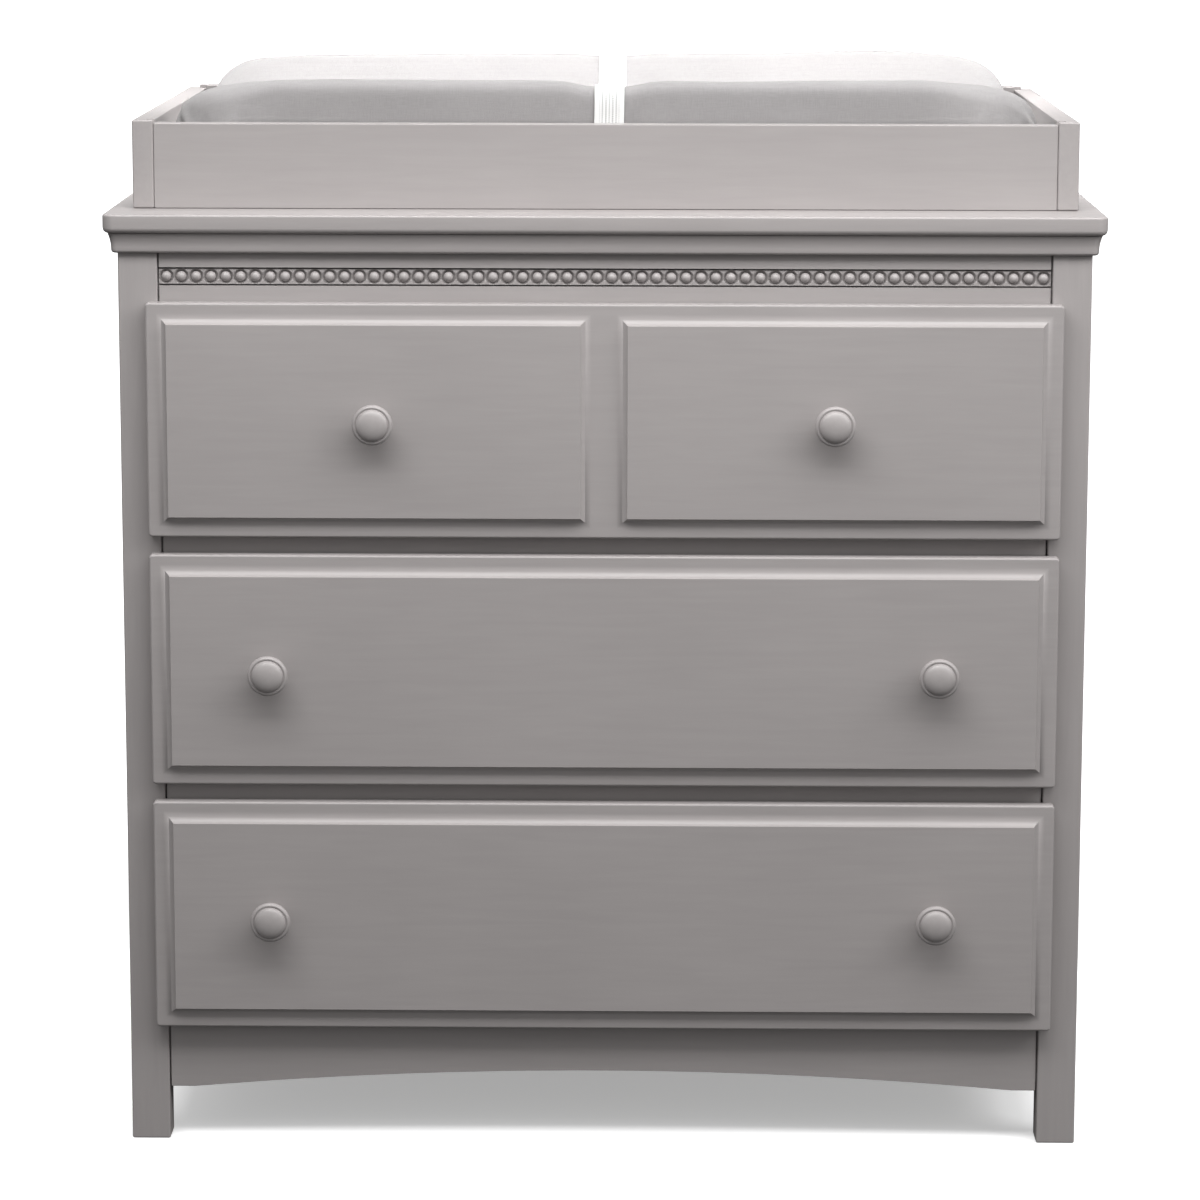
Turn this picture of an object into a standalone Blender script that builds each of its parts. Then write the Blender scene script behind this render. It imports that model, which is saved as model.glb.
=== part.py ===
"""A three-drawer dresser with a changing tray and a contoured pad on its top.

Metres, +Z up, +X to the right of a person facing the drawers, fronts towards -Y.
The origin is on the floor, under the middle of the whole piece.
"""

import math

import bmesh
import bpy
from mathutils import Matrix, Vector

# ---- Driving dimensions -----------------------------------------------------------------

TOP_WIDTH = 0.895
TOP_DEPTH = 0.512
TOP_HEIGHT = 0.8585
TOP_THICKNESS = 0.017
TOP_CORNER_RADIUS = 0.010
TOP_UPPER_ROUND = 0.002
TOP_LOWER_ROUND = 0.005
SIDE_OVERHANG = 0.0125
FRONT_OVERHANG = 0.013
REAR_OVERHANG = 0.013

POST_WIDTH = 0.0352
POST_DEPTH = 0.028
EDGE_ROUND = 0.0015

CORNICE_HEIGHT = 0.018
CORNICE_REACH = 0.0085
CORNICE_FOOT_REACH = 0.0055
CORNICE_HOLLOW = 0.0008

RAIL_THICKNESS = 0.018
RAIL_SETBACK = 0.002
SHADOW_GAP = 0.0013
TENON_LENGTH = 0.012
TENON_THICKNESS = 0.008
TENON_SHOULDER = 0.007
DIVIDER_HEIGHT = 0.030
FRIEZE_OVERLAP = 0.008
APRON_OVERLAP = 0.012
APRON_FOOT = 0.0495
APRON_ARCH_RISE = 0.017
APRON_ARCH_INSET = 0.022
REAR_RAIL_HEIGHT = 0.060

SIDE_PANEL_THICKNESS = 0.018
SIDE_PANEL_FOOT = 0.060
TONGUE_LENGTH = 0.006
TONGUE_THICKNESS = 0.010
BACK_PANEL_THICKNESS = 0.004
BACK_PANEL_SETBACK = 0.002
BACK_GROOVE_DEPTH = 0.007

BEAD_COUNT = 60
BEAD_RADIUS = 0.0049
BEAD_STRIP_HEIGHT = 0.016
BEAD_STRIP_THICKNESS = 0.0075
BEAD_STRIP_BELOW_CORNICE = 0.0135
BEAD_PROUD = 0.0030
BEAD_STRIP_SETBACK = 0.0015

DRAWER_COUNT = 3
FRONT_OVERLAY = 0.0097
FRONT_GAP = 0.0163
FRONT_BELOW_CORNICE = 0.0435
LOWEST_FRONT_FOOT = 0.1114
FRONT_LIP_THICKNESS = 0.0135
FRONT_LIP_WIDTH = 0.009
COVE_WIDTH = 0.010
COVE_RISE = 0.006
COVE_STEPS = 12
COVE_END_ANGLE = math.radians(78.0)
FRONT_CORNER_RADIUS = 0.003
FRONT_EDGE_ROUND = 0.002
STILE_WIDTH = 0.0224
FRONT_STANDOFF = 0.0005

BOX_BELOW_FRONT_HEAD = 0.044
BOX_ABOVE_FRONT_FOOT = 0.018
BOX_REAR_ROOM = 0.0865
BOX_WALL = 0.012
BOX_DADO = 0.006
BOTTOM_THICKNESS = 0.005
BOTTOM_ABOVE_BOX_FOOT = 0.012
BOTTOM_GROOVE = 0.006

SLIDE_WIDTH = 0.0127
SLIDE_HEIGHT = 0.045
SLIDE_SHEET = 0.0012
SLIDE_FLANGE = 0.0105
SLIDE_RUNNING_CLEARANCE = 0.0022
SLIDE_BEHIND_POST_FACE = 0.004
SLIDE_LIP = 0.0028

KNOB_RADIUS = 0.0185
KNOB_PROJECTION = 0.026
KNOB_STEM_RADIUS = 0.0092
KNOB_DOME_SHARE = 0.78
KNOB_DOME_RISE = 0.0052
KNOB_RIM_ROUND = 0.0032
KNOB_SPIGOT_RADIUS = 0.004
KNOB_SPIGOT_LENGTH = 0.011
KNOB_SEGMENTS = 18
OUTER_KNOB_FROM_EDGE = 0.108

TRAY_SIDE_INSET = 0.0211
TRAY_FRONT_INSET = 0.059
TRAY_REAR_INSET = 0.003
TRAY_SIDE_HEIGHT = 0.0795
TRAY_FRONT_HEIGHT = 0.0765
TRAY_BACK_HEIGHT = 0.0825
TRAY_BOARD = 0.019
TRAY_END_SETBACK = 0.001
TRAY_TONGUE_LENGTH = 0.007
TRAY_TONGUE_THICKNESS = 0.008

PAD_SIDE_GAP = 0.0025
PAD_END_GAP = 0.0030
PAD_FRONT_CREST = 0.1125
PAD_REAR_CREST = 0.117
PAD_TROUGH = 0.046
PAD_CREST_INSET = 0.052
PAD_SLOPE_WIDTH = 0.105
PAD_END_ROUND = 0.120
PAD_END_POWER = 5.0
PAD_SIDE_POWER = 3.2

STRAP_WIDTH = 0.027
STRAP_THICKNESS = 0.0012
STRAP_CLEARANCE = 0.0009
STRAP_TURN_HEIGHT = 0.030
BUCKLE_WIDTH = 0.034
BUCKLE_LENGTH = 0.030
BUCKLE_THICKNESS = 0.009
BUCKLE_PRONG_LENGTH = 0.014

TOUCH_GAP = 0.0003
JOINT_CLEARANCE = 0.0003

# ---- Places that follow from the dimensions ---------------------------------------------

BODY_WIDTH = TOP_WIDTH - 2 * SIDE_OVERHANG
BODY_DEPTH = TOP_DEPTH - FRONT_OVERHANG - REAR_OVERHANG
HALF_OPENING = BODY_WIDTH / 2 - POST_WIDTH
FIELD_PROUD = FRONT_STANDOFF + FRONT_LIP_THICKNESS + COVE_RISE
FRONT_REACH = FIELD_PROUD + KNOB_PROJECTION
POST_FACE = (FRONT_REACH - BODY_DEPTH - REAR_OVERHANG) / 2
REAR_FACE = POST_FACE + BODY_DEPTH
TOP_UNDERSIDE = TOP_HEIGHT - TOP_THICKNESS
POST_TOP = TOP_UNDERSIDE - TOUCH_GAP
CORNICE_FOOT = TOP_UNDERSIDE - CORNICE_HEIGHT
FIELD_PLANE = POST_FACE - FIELD_PROUD
FRONT_BACK_PLANE = POST_FACE - FRONT_STANDOFF
TOP_FRONT_EDGE = CORNICE_FOOT - FRONT_BELOW_CORNICE
FRONT_WIDTH = 2 * (HALF_OPENING + FRONT_OVERLAY)
FRONT_STACK = TOP_FRONT_EDGE - LOWEST_FRONT_FOOT
FRONT_HEIGHT = (FRONT_STACK - (DRAWER_COUNT - 1) * FRONT_GAP) / DRAWER_COUNT
FRONT_PITCH = FRONT_HEIGHT + FRONT_GAP
FRONT_FEET = [TOP_FRONT_EDGE - FRONT_HEIGHT - FRONT_PITCH * i for i in range(DRAWER_COUNT)]
BOX_HALF_WIDTH = HALF_OPENING - SLIDE_WIDTH - TOUCH_GAP
BOX_HEIGHT = FRONT_HEIGHT - BOX_BELOW_FRONT_HEAD - BOX_ABOVE_FRONT_FOOT
BOX_DEPTH = BODY_DEPTH + FRONT_STANDOFF - BOX_REAR_ROOM
SLIDE_LENGTH = BOX_DEPTH - FRONT_STANDOFF - SLIDE_BEHIND_POST_FACE
TRAY_WIDTH = TOP_WIDTH - 2 * TRAY_SIDE_INSET
TRAY_DEPTH = TOP_DEPTH - TRAY_FRONT_INSET - TRAY_REAR_INSET
TRAY_FRONT = POST_FACE - FRONT_OVERHANG + TRAY_FRONT_INSET
TRAY_FLOOR = TOP_HEIGHT + TOUCH_GAP
TRAY_INNER_HALF = TRAY_WIDTH / 2 - TRAY_BOARD
PAD_FRONT = TRAY_FRONT + TRAY_END_SETBACK + TRAY_BOARD + PAD_END_GAP
PAD_DEPTH = TRAY_DEPTH - 2 * (TRAY_END_SETBACK + TRAY_BOARD + PAD_END_GAP)
PAD_HALF_LENGTH = TRAY_INNER_HALF - PAD_SIDE_GAP
SLIDE_FRONT = POST_FACE + SLIDE_BEHIND_POST_FACE
FIELD_CENTRE = (STILE_WIDTH / 2 + FRONT_WIDTH / 2 - FRONT_LIP_WIDTH) / 2
OUTER_KNOB_OFFSET = FRONT_WIDTH / 2 - OUTER_KNOB_FROM_EDGE

SIDES = (("left", -1), ("right", 1))
DRAWER_NAMES = ("top", "middle", "bottom")

# ---- Scene, collections and materials ---------------------------------------------------


def clear_scene():
    for item in list(bpy.data.objects):
        bpy.data.objects.remove(item, do_unlink=True)


def make_collection(name):
    collection = bpy.data.collections.new(name)
    bpy.context.scene.collection.children.link(collection)
    return collection


def make_material(name, colour, roughness, metallic=0.0):
    material = bpy.data.materials.new(name)
    material.use_nodes = True
    shader = material.node_tree.nodes["Principled BSDF"]
    shader.inputs["Base Color"].default_value = (*colour, 1.0)
    shader.inputs["Roughness"].default_value = roughness
    shader.inputs["Metallic"].default_value = metallic
    material.diffuse_color = (*colour, 1.0)
    return material


clear_scene()
PARTS = make_collection("changing_table")
CUTTERS = make_collection("cutters")
PAINT = make_material("grey_paint", (0.33, 0.315, 0.305), 0.42)
RAW_WOOD = make_material("drawer_wood", (0.62, 0.50, 0.36), 0.62)
BOARD = make_material("back_board", (0.46, 0.44, 0.42), 0.70)
STEEL = make_material("slide_steel", (0.60, 0.61, 0.62), 0.32, 1.0)
PAD_FABRIC = make_material("pad_cover", (0.66, 0.65, 0.65), 0.90)
STRAP_WEB = make_material("strap_webbing", (0.82, 0.82, 0.81), 0.85)
BUCKLE_PLASTIC = make_material("buckle_plastic", (0.75, 0.75, 0.74), 0.40)

# ---- Building helpers -------------------------------------------------------------------


def add_object(name, mesh, material, collection=None):
    piece = bpy.data.objects.new(name, mesh)
    (collection or PARTS).objects.link(piece)
    if material is not None:
        mesh.materials.append(material)
    return piece


def box_mesh(name, boxes):
    """One mesh of separate boxes, each given by its low and high corners."""
    form = bmesh.new()
    for low, high in boxes:
        low, high = Vector(low), Vector(high)
        size = high - low
        place = Matrix.Translation((low + high) / 2) @ Matrix.Diagonal((*size, 1.0))
        bmesh.ops.create_cube(form, size=1.0, matrix=place)
    mesh = bpy.data.meshes.new(name)
    form.to_mesh(mesh)
    form.free()
    return mesh


def add_box(name, low, high, material, rounding=0.0):
    """A board with its origin at its own centre."""
    low, high = Vector(low), Vector(high)
    centre = (low + high) / 2
    piece = add_object(name, box_mesh(name, [(low - centre, high - centre)]), material)
    piece.location = centre
    if rounding:
        add_bevel(piece, rounding)
    return piece


def add_bevel(piece, width, segments=2):
    bevel = piece.modifiers.new("rounded_edges", "BEVEL")
    bevel.width = width
    bevel.segments = segments
    bevel.limit_method = "ANGLE"
    bevel.angle_limit = math.radians(50.0)
    return bevel


def add_boolean(piece, other, operation):
    boolean = piece.modifiers.new(operation.lower() + "_" + other.name, "BOOLEAN")
    boolean.operation = operation
    boolean.solver = "EXACT"
    boolean.object = other


def add_tool(name, mesh):
    """A hidden shape that another piece is cut by or joined with."""
    tool = add_object(name, mesh, None, CUTTERS)
    tool.hide_render = True
    tool.display_type = "WIRE"
    return tool


def cut_boxes(piece, boxes):
    """Cuts may cross each other, so each one is its own tool."""
    for number, box in enumerate(boxes):
        name = f"{piece.name}_cut_{number + 1}"
        add_boolean(piece, add_tool(name, box_mesh(name, [box])), "DIFFERENCE")


def join_boxes(piece, boxes):
    name = f"{piece.name}_tenons"
    add_boolean(piece, add_tool(name, box_mesh(name, boxes)), "UNION")


def outline_mesh(name, points, thickness):
    """A flat outline in the XY plane, thickened evenly to both sides, as a closed mesh."""
    curve = bpy.data.curves.new(name + "_outline", "CURVE")
    curve.dimensions = "2D"
    curve.fill_mode = "BOTH"
    curve.extrude = thickness / 2
    spline = curve.splines.new("POLY")
    spline.points.add(len(points) - 1)
    for point, (across, up) in zip(spline.points, points):
        point.co = (across, up, 0.0, 1.0)
    spline.use_cyclic_u = True
    holder = bpy.data.objects.new(name + "_outline", curve)
    CUTTERS.objects.link(holder)
    depsgraph = bpy.context.evaluated_depsgraph_get()
    mesh = bpy.data.meshes.new_from_object(holder.evaluated_get(depsgraph), depsgraph=depsgraph)
    mesh.name = name
    mesh.materials.clear()
    bpy.data.objects.remove(holder, do_unlink=True)
    form = bmesh.new()
    form.from_mesh(mesh)
    bmesh.ops.remove_doubles(form, verts=form.verts, dist=0.00002)
    bmesh.ops.recalc_face_normals(form, faces=form.faces)
    form.to_mesh(mesh)
    form.free()
    return mesh


def add_outline(name, points, thickness, centre, turn, material):
    """turn "XZ" runs the thickness along Y, "XY" along Z."""
    piece = add_object(name, outline_mesh(name, points, thickness), material)
    piece.location = centre
    if turn == "XZ":
        piece.rotation_euler = (math.pi / 2, 0.0, 0.0)
    return piece


def turned_object(name, profile, segments, material):
    """A turned piece: the profile is (radius, height) from top to bottom, about +Z."""
    form = bmesh.new()
    corners = [form.verts.new((radius, 0.0, height)) for radius, height in profile]
    for start, end in zip(corners, corners[1:]):
        form.edges.new((start, end))
    mesh = bpy.data.meshes.new(name)
    form.to_mesh(mesh)
    form.free()
    piece = add_object(name, mesh, material)
    screw = piece.modifiers.new("turned", "SCREW")
    screw.axis = "Z"
    screw.angle = 2 * math.pi
    screw.steps = segments
    screw.render_steps = segments
    screw.use_merge_vertices = True
    screw.merge_threshold = 0.00001
    return piece


# ---- Cabinet: posts, panels and rails ---------------------------------------------------


def span_x(low_z, high_z, front, back, half):
    """A box symmetric about x = 0."""
    return (-half, front, low_z), (half, back, high_z)


def tenon_band(low_z, high_z, front, back):
    """Heights and depths that a rail's stub tenon fills, between its shoulders."""
    middle = (front + back) / 2
    return (
        low_z + TENON_SHOULDER,
        high_z - TENON_SHOULDER,
        middle - TENON_THICKNESS / 2,
        middle + TENON_THICKNESS / 2,
    )


def front_rails():
    """Name to (foot, head) of each rail between the front posts."""
    rails = {"frieze_rail": (TOP_FRONT_EDGE - FRIEZE_OVERLAP, POST_TOP)}
    for name, foot in (("upper_divider_rail", FRONT_FEET[0]), ("lower_divider_rail", FRONT_FEET[1])):
        middle = foot - FRONT_GAP / 2
        rails[name] = (middle - DIVIDER_HEIGHT / 2, middle + DIVIDER_HEIGHT / 2)
    rails["arched_apron"] = (APRON_FOOT, FRONT_FEET[2] + APRON_OVERLAP)
    return rails


def rear_rails():
    foot = FRONT_FEET[2] + APRON_OVERLAP - REAR_RAIL_HEIGHT
    return {
        "rear_lower_rail": (foot, foot + REAR_RAIL_HEIGHT),
        "rear_upper_rail": (POST_TOP - REAR_RAIL_HEIGHT, POST_TOP),
    }


FRONT_RAIL_FACE = POST_FACE + RAIL_SETBACK
REAR_RAIL_BACK = REAR_FACE - BACK_PANEL_SETBACK - BACK_PANEL_THICKNESS - TOUCH_GAP
REAR_RAIL_FACE = REAR_RAIL_BACK - RAIL_THICKNESS


def mortise_boxes(side, rails, front, back):
    boxes = []
    for low_z, high_z in rails.values():
        low, high, near, far = tenon_band(low_z, high_z, front, back)
        reach = HALF_OPENING + TENON_LENGTH + JOINT_CLEARANCE
        edges = sorted((side * (HALF_OPENING - 0.001), side * reach))
        boxes.append(
            (
                (edges[0], near - JOINT_CLEARANCE, low - JOINT_CLEARANCE),
                (edges[1], far + JOINT_CLEARANCE, high + JOINT_CLEARANCE),
            )
        )
    return boxes


def tongue_groove(side, mouth, into):
    """Groove in a post for a side panel's tongue; it opens at y = mouth and runs to y = into."""
    middle = HALF_OPENING + SIDE_PANEL_THICKNESS / 2
    half = TONGUE_THICKNESS / 2 + JOINT_CLEARANCE
    edges = sorted((side * (middle - half), side * (middle + half)))
    depth = sorted((mouth, into))
    return (
        (edges[0], depth[0], SIDE_PANEL_FOOT - JOINT_CLEARANCE),
        (edges[1], depth[1], POST_TOP + 0.001),
    )


def back_groove(side):
    """Groove for the back panel's edge in a rear post's inner face."""
    back = REAR_FACE - BACK_PANEL_SETBACK
    reach = HALF_OPENING + BACK_GROOVE_DEPTH + JOINT_CLEARANCE
    edges = sorted((side * (HALF_OPENING - 0.001), side * reach))
    foot = rear_rails()["rear_lower_rail"][0]
    return (
        (edges[0], back - BACK_PANEL_THICKNESS - JOINT_CLEARANCE, foot - JOINT_CLEARANCE),
        (edges[1], back + JOINT_CLEARANCE, POST_TOP + 0.001),
    )


def build_posts():
    for name, side in SIDES:
        inner, outer = side * HALF_OPENING, side * BODY_WIDTH / 2
        low_x, high_x = sorted((inner, outer))
        back = POST_FACE + POST_DEPTH
        post = add_box(
            f"front_{name}_post", (low_x, POST_FACE, 0.0), (high_x, back, POST_TOP), PAINT, EDGE_ROUND
        )
        cuts = mortise_boxes(side, front_rails(), FRONT_RAIL_FACE, FRONT_RAIL_FACE + RAIL_THICKNESS)
        cuts.append(tongue_groove(side, back + 0.001, back - TONGUE_LENGTH - JOINT_CLEARANCE))
        cut_boxes(post, cuts)
        face = REAR_FACE - POST_DEPTH
        post = add_box(
            f"rear_{name}_post", (low_x, face, 0.0), (high_x, REAR_FACE, POST_TOP), PAINT, EDGE_ROUND
        )
        cuts = mortise_boxes(side, rear_rails(), REAR_RAIL_FACE, REAR_RAIL_BACK)
        cuts.append(tongue_groove(side, face - 0.001, face + TONGUE_LENGTH + JOINT_CLEARANCE))
        cuts.append(back_groove(side))
        cut_boxes(post, cuts)


def build_side_panels():
    """Panels tongued into the posts, flush with the posts' inner faces."""
    front = POST_FACE + POST_DEPTH + TOUCH_GAP
    back = REAR_FACE - POST_DEPTH - TOUCH_GAP
    half = SIDE_PANEL_THICKNESS / 2
    tongue = TONGUE_THICKNESS / 2
    long_front = POST_FACE + POST_DEPTH - TONGUE_LENGTH
    long_back = REAR_FACE - POST_DEPTH + TONGUE_LENGTH
    outline = [
        (-half, front), (-tongue, front), (-tongue, long_front), (tongue, long_front),
        (tongue, front), (half, front), (half, back), (tongue, back),
        (tongue, long_back), (-tongue, long_back), (-tongue, back), (-half, back),
    ]
    for name, side in SIDES:
        centre = (side * (HALF_OPENING + half), 0.0, (SIDE_PANEL_FOOT + POST_TOP) / 2)
        add_outline(f"{name}_side_panel", outline, POST_TOP - SIDE_PANEL_FOOT, centre, "XY", PAINT)


def build_back_panel():
    half = HALF_OPENING + BACK_GROOVE_DEPTH
    back = REAR_FACE - BACK_PANEL_SETBACK
    foot = rear_rails()["rear_lower_rail"][0]
    add_box("back_panel", *span_x(foot, POST_TOP, back - BACK_PANEL_THICKNESS, back, half), BOARD)


def build_rail(name, foot, head, front, back):
    half = HALF_OPENING - SHADOW_GAP
    rail = add_box(name, *span_x(foot, head, front, back, half), PAINT, EDGE_ROUND / 2)
    low, high, near, far = tenon_band(foot, head, front, back)
    reach = HALF_OPENING + TENON_LENGTH
    root = half - TENON_THICKNESS
    tenons = [((-reach, near, low), (-root, far, high)), ((root, near, low), (reach, far, high))]
    join_boxes(rail, tenons)
    return rail


def build_rails():
    for name, (foot, head) in front_rails().items():
        rail = build_rail(name, foot, head, FRONT_RAIL_FACE, FRONT_RAIL_FACE + RAIL_THICKNESS)
        if name == "frieze_rail":
            cut_bead_groove(rail)
        if name == "arched_apron":
            cut_arch(rail)
    for name, (foot, head) in rear_rails().items():
        build_rail(name, foot, head, REAR_RAIL_FACE, REAR_RAIL_BACK)


def cut_arch(rail):
    """The apron's foot is a shallow arc between two short flats."""
    half_span = HALF_OPENING - SHADOW_GAP - APRON_ARCH_INSET
    radius = (half_span**2 + APRON_ARCH_RISE**2) / (2 * APRON_ARCH_RISE)
    sweep = math.asin(half_span / radius)
    steps = 32
    points = [(half_span, -0.01), (-half_span, -0.01)]
    for i in range(steps + 1):
        angle = -sweep + 2 * sweep * i / steps
        points.append((radius * math.sin(angle), APRON_ARCH_RISE - radius * (1 - math.cos(angle))))
    name = "arched_apron_arch"
    tool = add_tool(name, outline_mesh(name, points, RAIL_THICKNESS + 0.01))
    tool.location = (0.0, FRONT_RAIL_FACE + RAIL_THICKNESS / 2, APRON_FOOT)
    tool.rotation_euler = (math.pi / 2, 0.0, 0.0)
    add_boolean(rail, tool, "DIFFERENCE")


BEAD_STRIP_HEAD = CORNICE_FOOT - BEAD_STRIP_BELOW_CORNICE
BEAD_STRIP_FOOT = BEAD_STRIP_HEAD - BEAD_STRIP_HEIGHT
BEAD_GROOVE_FLOOR = FRONT_RAIL_FACE + BEAD_STRIP_SETBACK + BEAD_STRIP_THICKNESS + TOUCH_GAP


def cut_bead_groove(rail):
    half = HALF_OPENING - SHADOW_GAP + 0.001
    low, high = span_x(
        BEAD_STRIP_FOOT - JOINT_CLEARANCE,
        BEAD_STRIP_HEAD + JOINT_CLEARANCE,
        FRONT_RAIL_FACE - 0.001,
        BEAD_GROOVE_FLOOR,
        half,
    )
    cut_boxes(rail, [(low, high)])


def build_bead_strip():
    """A strip in the frieze's groove with a row of half-sunk round beads along it."""
    half = HALF_OPENING - SHADOW_GAP
    face = FRONT_RAIL_FACE + BEAD_STRIP_SETBACK
    low, high = span_x(BEAD_STRIP_FOOT, BEAD_STRIP_HEAD, face, face + BEAD_STRIP_THICKNESS, half)
    strip = add_box("bead_strip", low, high, PAINT)
    pitch = 2 * half / BEAD_COUNT
    form = bmesh.new()
    for i in range(BEAD_COUNT):
        centre = (
            -half + pitch * (i + 0.5),
            face + BEAD_RADIUS - BEAD_PROUD,
            (BEAD_STRIP_FOOT + BEAD_STRIP_HEAD) / 2,
        )
        turn = Matrix.Translation(centre) @ Matrix.Rotation(math.pi / 2, 4, "X")
        bmesh.ops.create_uvsphere(form, u_segments=8, v_segments=4, radius=BEAD_RADIUS, matrix=turn)
    mesh = bpy.data.meshes.new("bead_row")
    form.to_mesh(mesh)
    form.free()
    add_boolean(strip, add_tool("bead_row", mesh), "UNION")


def rounded_slab(name, low, high, corner, upper, lower, material):
    """A board whose plan corners, upper edge and lower edge each have their own round."""
    form = bmesh.new()
    low, high = Vector(low), Vector(high)
    centre = (low + high) / 2
    bmesh.ops.create_cube(form, size=1.0, matrix=Matrix.Diagonal((*(high - low), 1.0)))
    upright = [e for e in form.edges if abs(e.verts[0].co.z - e.verts[1].co.z) > 1e-6]
    bmesh.ops.bevel(form, geom=upright, offset=corner, segments=5, profile=0.5, affect="EDGES")
    for width, sign in ((upper, 1), (lower, -1)):
        level = sign * (high.z - low.z) / 2
        rim = [e for e in form.edges if all(abs(v.co.z - level) < 1e-6 for v in e.verts)]
        bmesh.ops.bevel(form, geom=rim, offset=width, segments=3, profile=0.5, affect="EDGES")
    mesh = bpy.data.meshes.new(name)
    form.to_mesh(mesh)
    form.free()
    piece = add_object(name, mesh, material)
    piece.location = centre
    return piece


def build_top_panel():
    low, high = span_x(
        TOP_UNDERSIDE, TOP_HEIGHT, POST_FACE - FRONT_OVERHANG, REAR_FACE + REAR_OVERHANG, TOP_WIDTH / 2
    )
    rounded_slab("top_panel", low, high, TOP_CORNER_RADIUS, TOP_UPPER_ROUND, TOP_LOWER_ROUND, PAINT)


def cornice_profile():
    """(reach, height) of the moulding: a sloping, slightly hollow face on a rounded foot."""
    head = TOP_UNDERSIDE - TOUCH_GAP
    foot_round = 0.003
    points = [(TOUCH_GAP, head), (TOUCH_GAP, CORNICE_FOOT)]
    for i in range(4):
        angle = math.radians(-90 + 27 * i)
        points.append(
            (
                CORNICE_FOOT_REACH - foot_round + foot_round * math.cos(angle),
                CORNICE_FOOT + foot_round + foot_round * math.sin(angle),
            )
        )
    for i in range(1, 7):
        share = i / 6
        hollow = CORNICE_HOLLOW * math.sin(math.pi * share)
        reach = CORNICE_FOOT_REACH + (CORNICE_REACH - CORNICE_FOOT_REACH) * share - hollow
        points.append((reach, CORNICE_FOOT + foot_round + (head - CORNICE_FOOT - foot_round) * share))
    return points


def sweep_cornice(name, start, moves):
    """Carries the profile from a corner through turns about corners and straight runs.

    start is (corner, angle); a move is ("turn", corner, angle) or ("run", vector)."""
    corner, angle = start
    form = bmesh.new()
    outward = Vector((math.sin(angle), -math.cos(angle), 0.0))
    ring = [
        form.verts.new(Vector((corner[0], corner[1], height)) + outward * reach)
        for reach, height in cornice_profile()
    ]
    form.faces.new(ring)
    edges = list(form.edges)
    for kind, *rest in moves:
        if kind == "turn":
            centre, sweep = rest
            grown = bmesh.ops.spin(
                form, geom=[*ring, *edges], cent=(*centre, 0.0), axis=(0.0, 0.0, 1.0), angle=sweep, steps=3
            )["geom_last"]
        else:
            grown = bmesh.ops.extrude_edge_only(form, edges=edges)["geom"]
            added = [g for g in grown if isinstance(g, bmesh.types.BMVert)]
            bmesh.ops.translate(form, verts=added, vec=rest[0])
        ring = [g for g in grown if isinstance(g, bmesh.types.BMVert)]
        edges = [g for g in grown if isinstance(g, bmesh.types.BMEdge) and set(g.verts) <= set(ring)]
    bmesh.ops.contextual_create(form, geom=edges)
    bmesh.ops.recalc_face_normals(form, faces=form.faces)
    mesh = bpy.data.meshes.new(name)
    form.to_mesh(mesh)
    form.free()
    return add_object(name, mesh, PAINT)


def build_cornices():
    quarter = math.pi / 4
    half = BODY_WIDTH / 2
    front = POST_FACE
    left, right = (-half, front), (half, front)
    sweep_cornice(
        "front_cornice",
        (left, -quarter + mitre_gap_angle()),
        [
            ("turn", left, quarter - mitre_gap_angle()),
            ("run", Vector((2 * half, 0.0, 0.0))),
            ("turn", right, quarter - mitre_gap_angle()),
        ],
    )
    run = Vector((0.0, BODY_DEPTH, 0.0))
    sweep_cornice(
        "right_cornice", (right, quarter + mitre_gap_angle()),
        [("turn", right, quarter - mitre_gap_angle()), ("run", run)],
    )
    sweep_cornice(
        "left_cornice", (left, -quarter - mitre_gap_angle()),
        [("turn", left, -quarter + mitre_gap_angle()), ("run", run)],
    )


def mitre_gap_angle():
    """Half the small angle that keeps two mitred ends apart at the moulding's mean reach."""
    return TOUCH_GAP / CORNICE_REACH


# ---- Drawer slides ----------------------------------------------------------------------


def slide_outline(height, sheet, flange):
    """A channel section: web along the left, flanges to the right, each with a short lip."""
    half = height / 2
    return [
        (0.0, -half), (flange, -half), (flange, -half + SLIDE_LIP), (flange - sheet, -half + SLIDE_LIP),
        (flange - sheet, -half + sheet), (sheet, -half + sheet), (sheet, half - sheet),
        (flange - sheet, half - sheet), (flange - sheet, half - SLIDE_LIP), (flange, half - SLIDE_LIP),
        (flange, half), (0.0, half),
    ]


def slide_height(index):
    return FRONT_FEET[index] + BOX_ABOVE_FRONT_FOOT + BOX_HEIGHT / 2


def build_slides():
    inner_height = SLIDE_HEIGHT - 2 * (SLIDE_SHEET + SLIDE_RUNNING_CLEARANCE)
    outer = slide_outline(SLIDE_HEIGHT, SLIDE_SHEET, SLIDE_FLANGE)
    inner = slide_outline(inner_height, SLIDE_SHEET, SLIDE_FLANGE)
    middle = SLIDE_FRONT + SLIDE_LENGTH / 2
    for index, drawer in enumerate(DRAWER_NAMES):
        for name, side in SIDES:
            wall = side * (HALF_OPENING - TOUCH_GAP)
            box = side * (BOX_HALF_WIDTH + TOUCH_GAP)
            fixed = [(-side * across, up) for across, up in outer]
            moving = [(side * across, up) for across, up in inner]
            level = slide_height(index)
            add_outline(
                f"{drawer}_cabinet_slide_{name}", fixed, SLIDE_LENGTH, (wall, middle, level), "XZ", STEEL
            )
            add_outline(
                f"{drawer}_drawer_slide_{name}", moving, SLIDE_LENGTH, (box, middle, level), "XZ", STEEL
            )


# ---- Drawers ----------------------------------------------------------------------------


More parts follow.
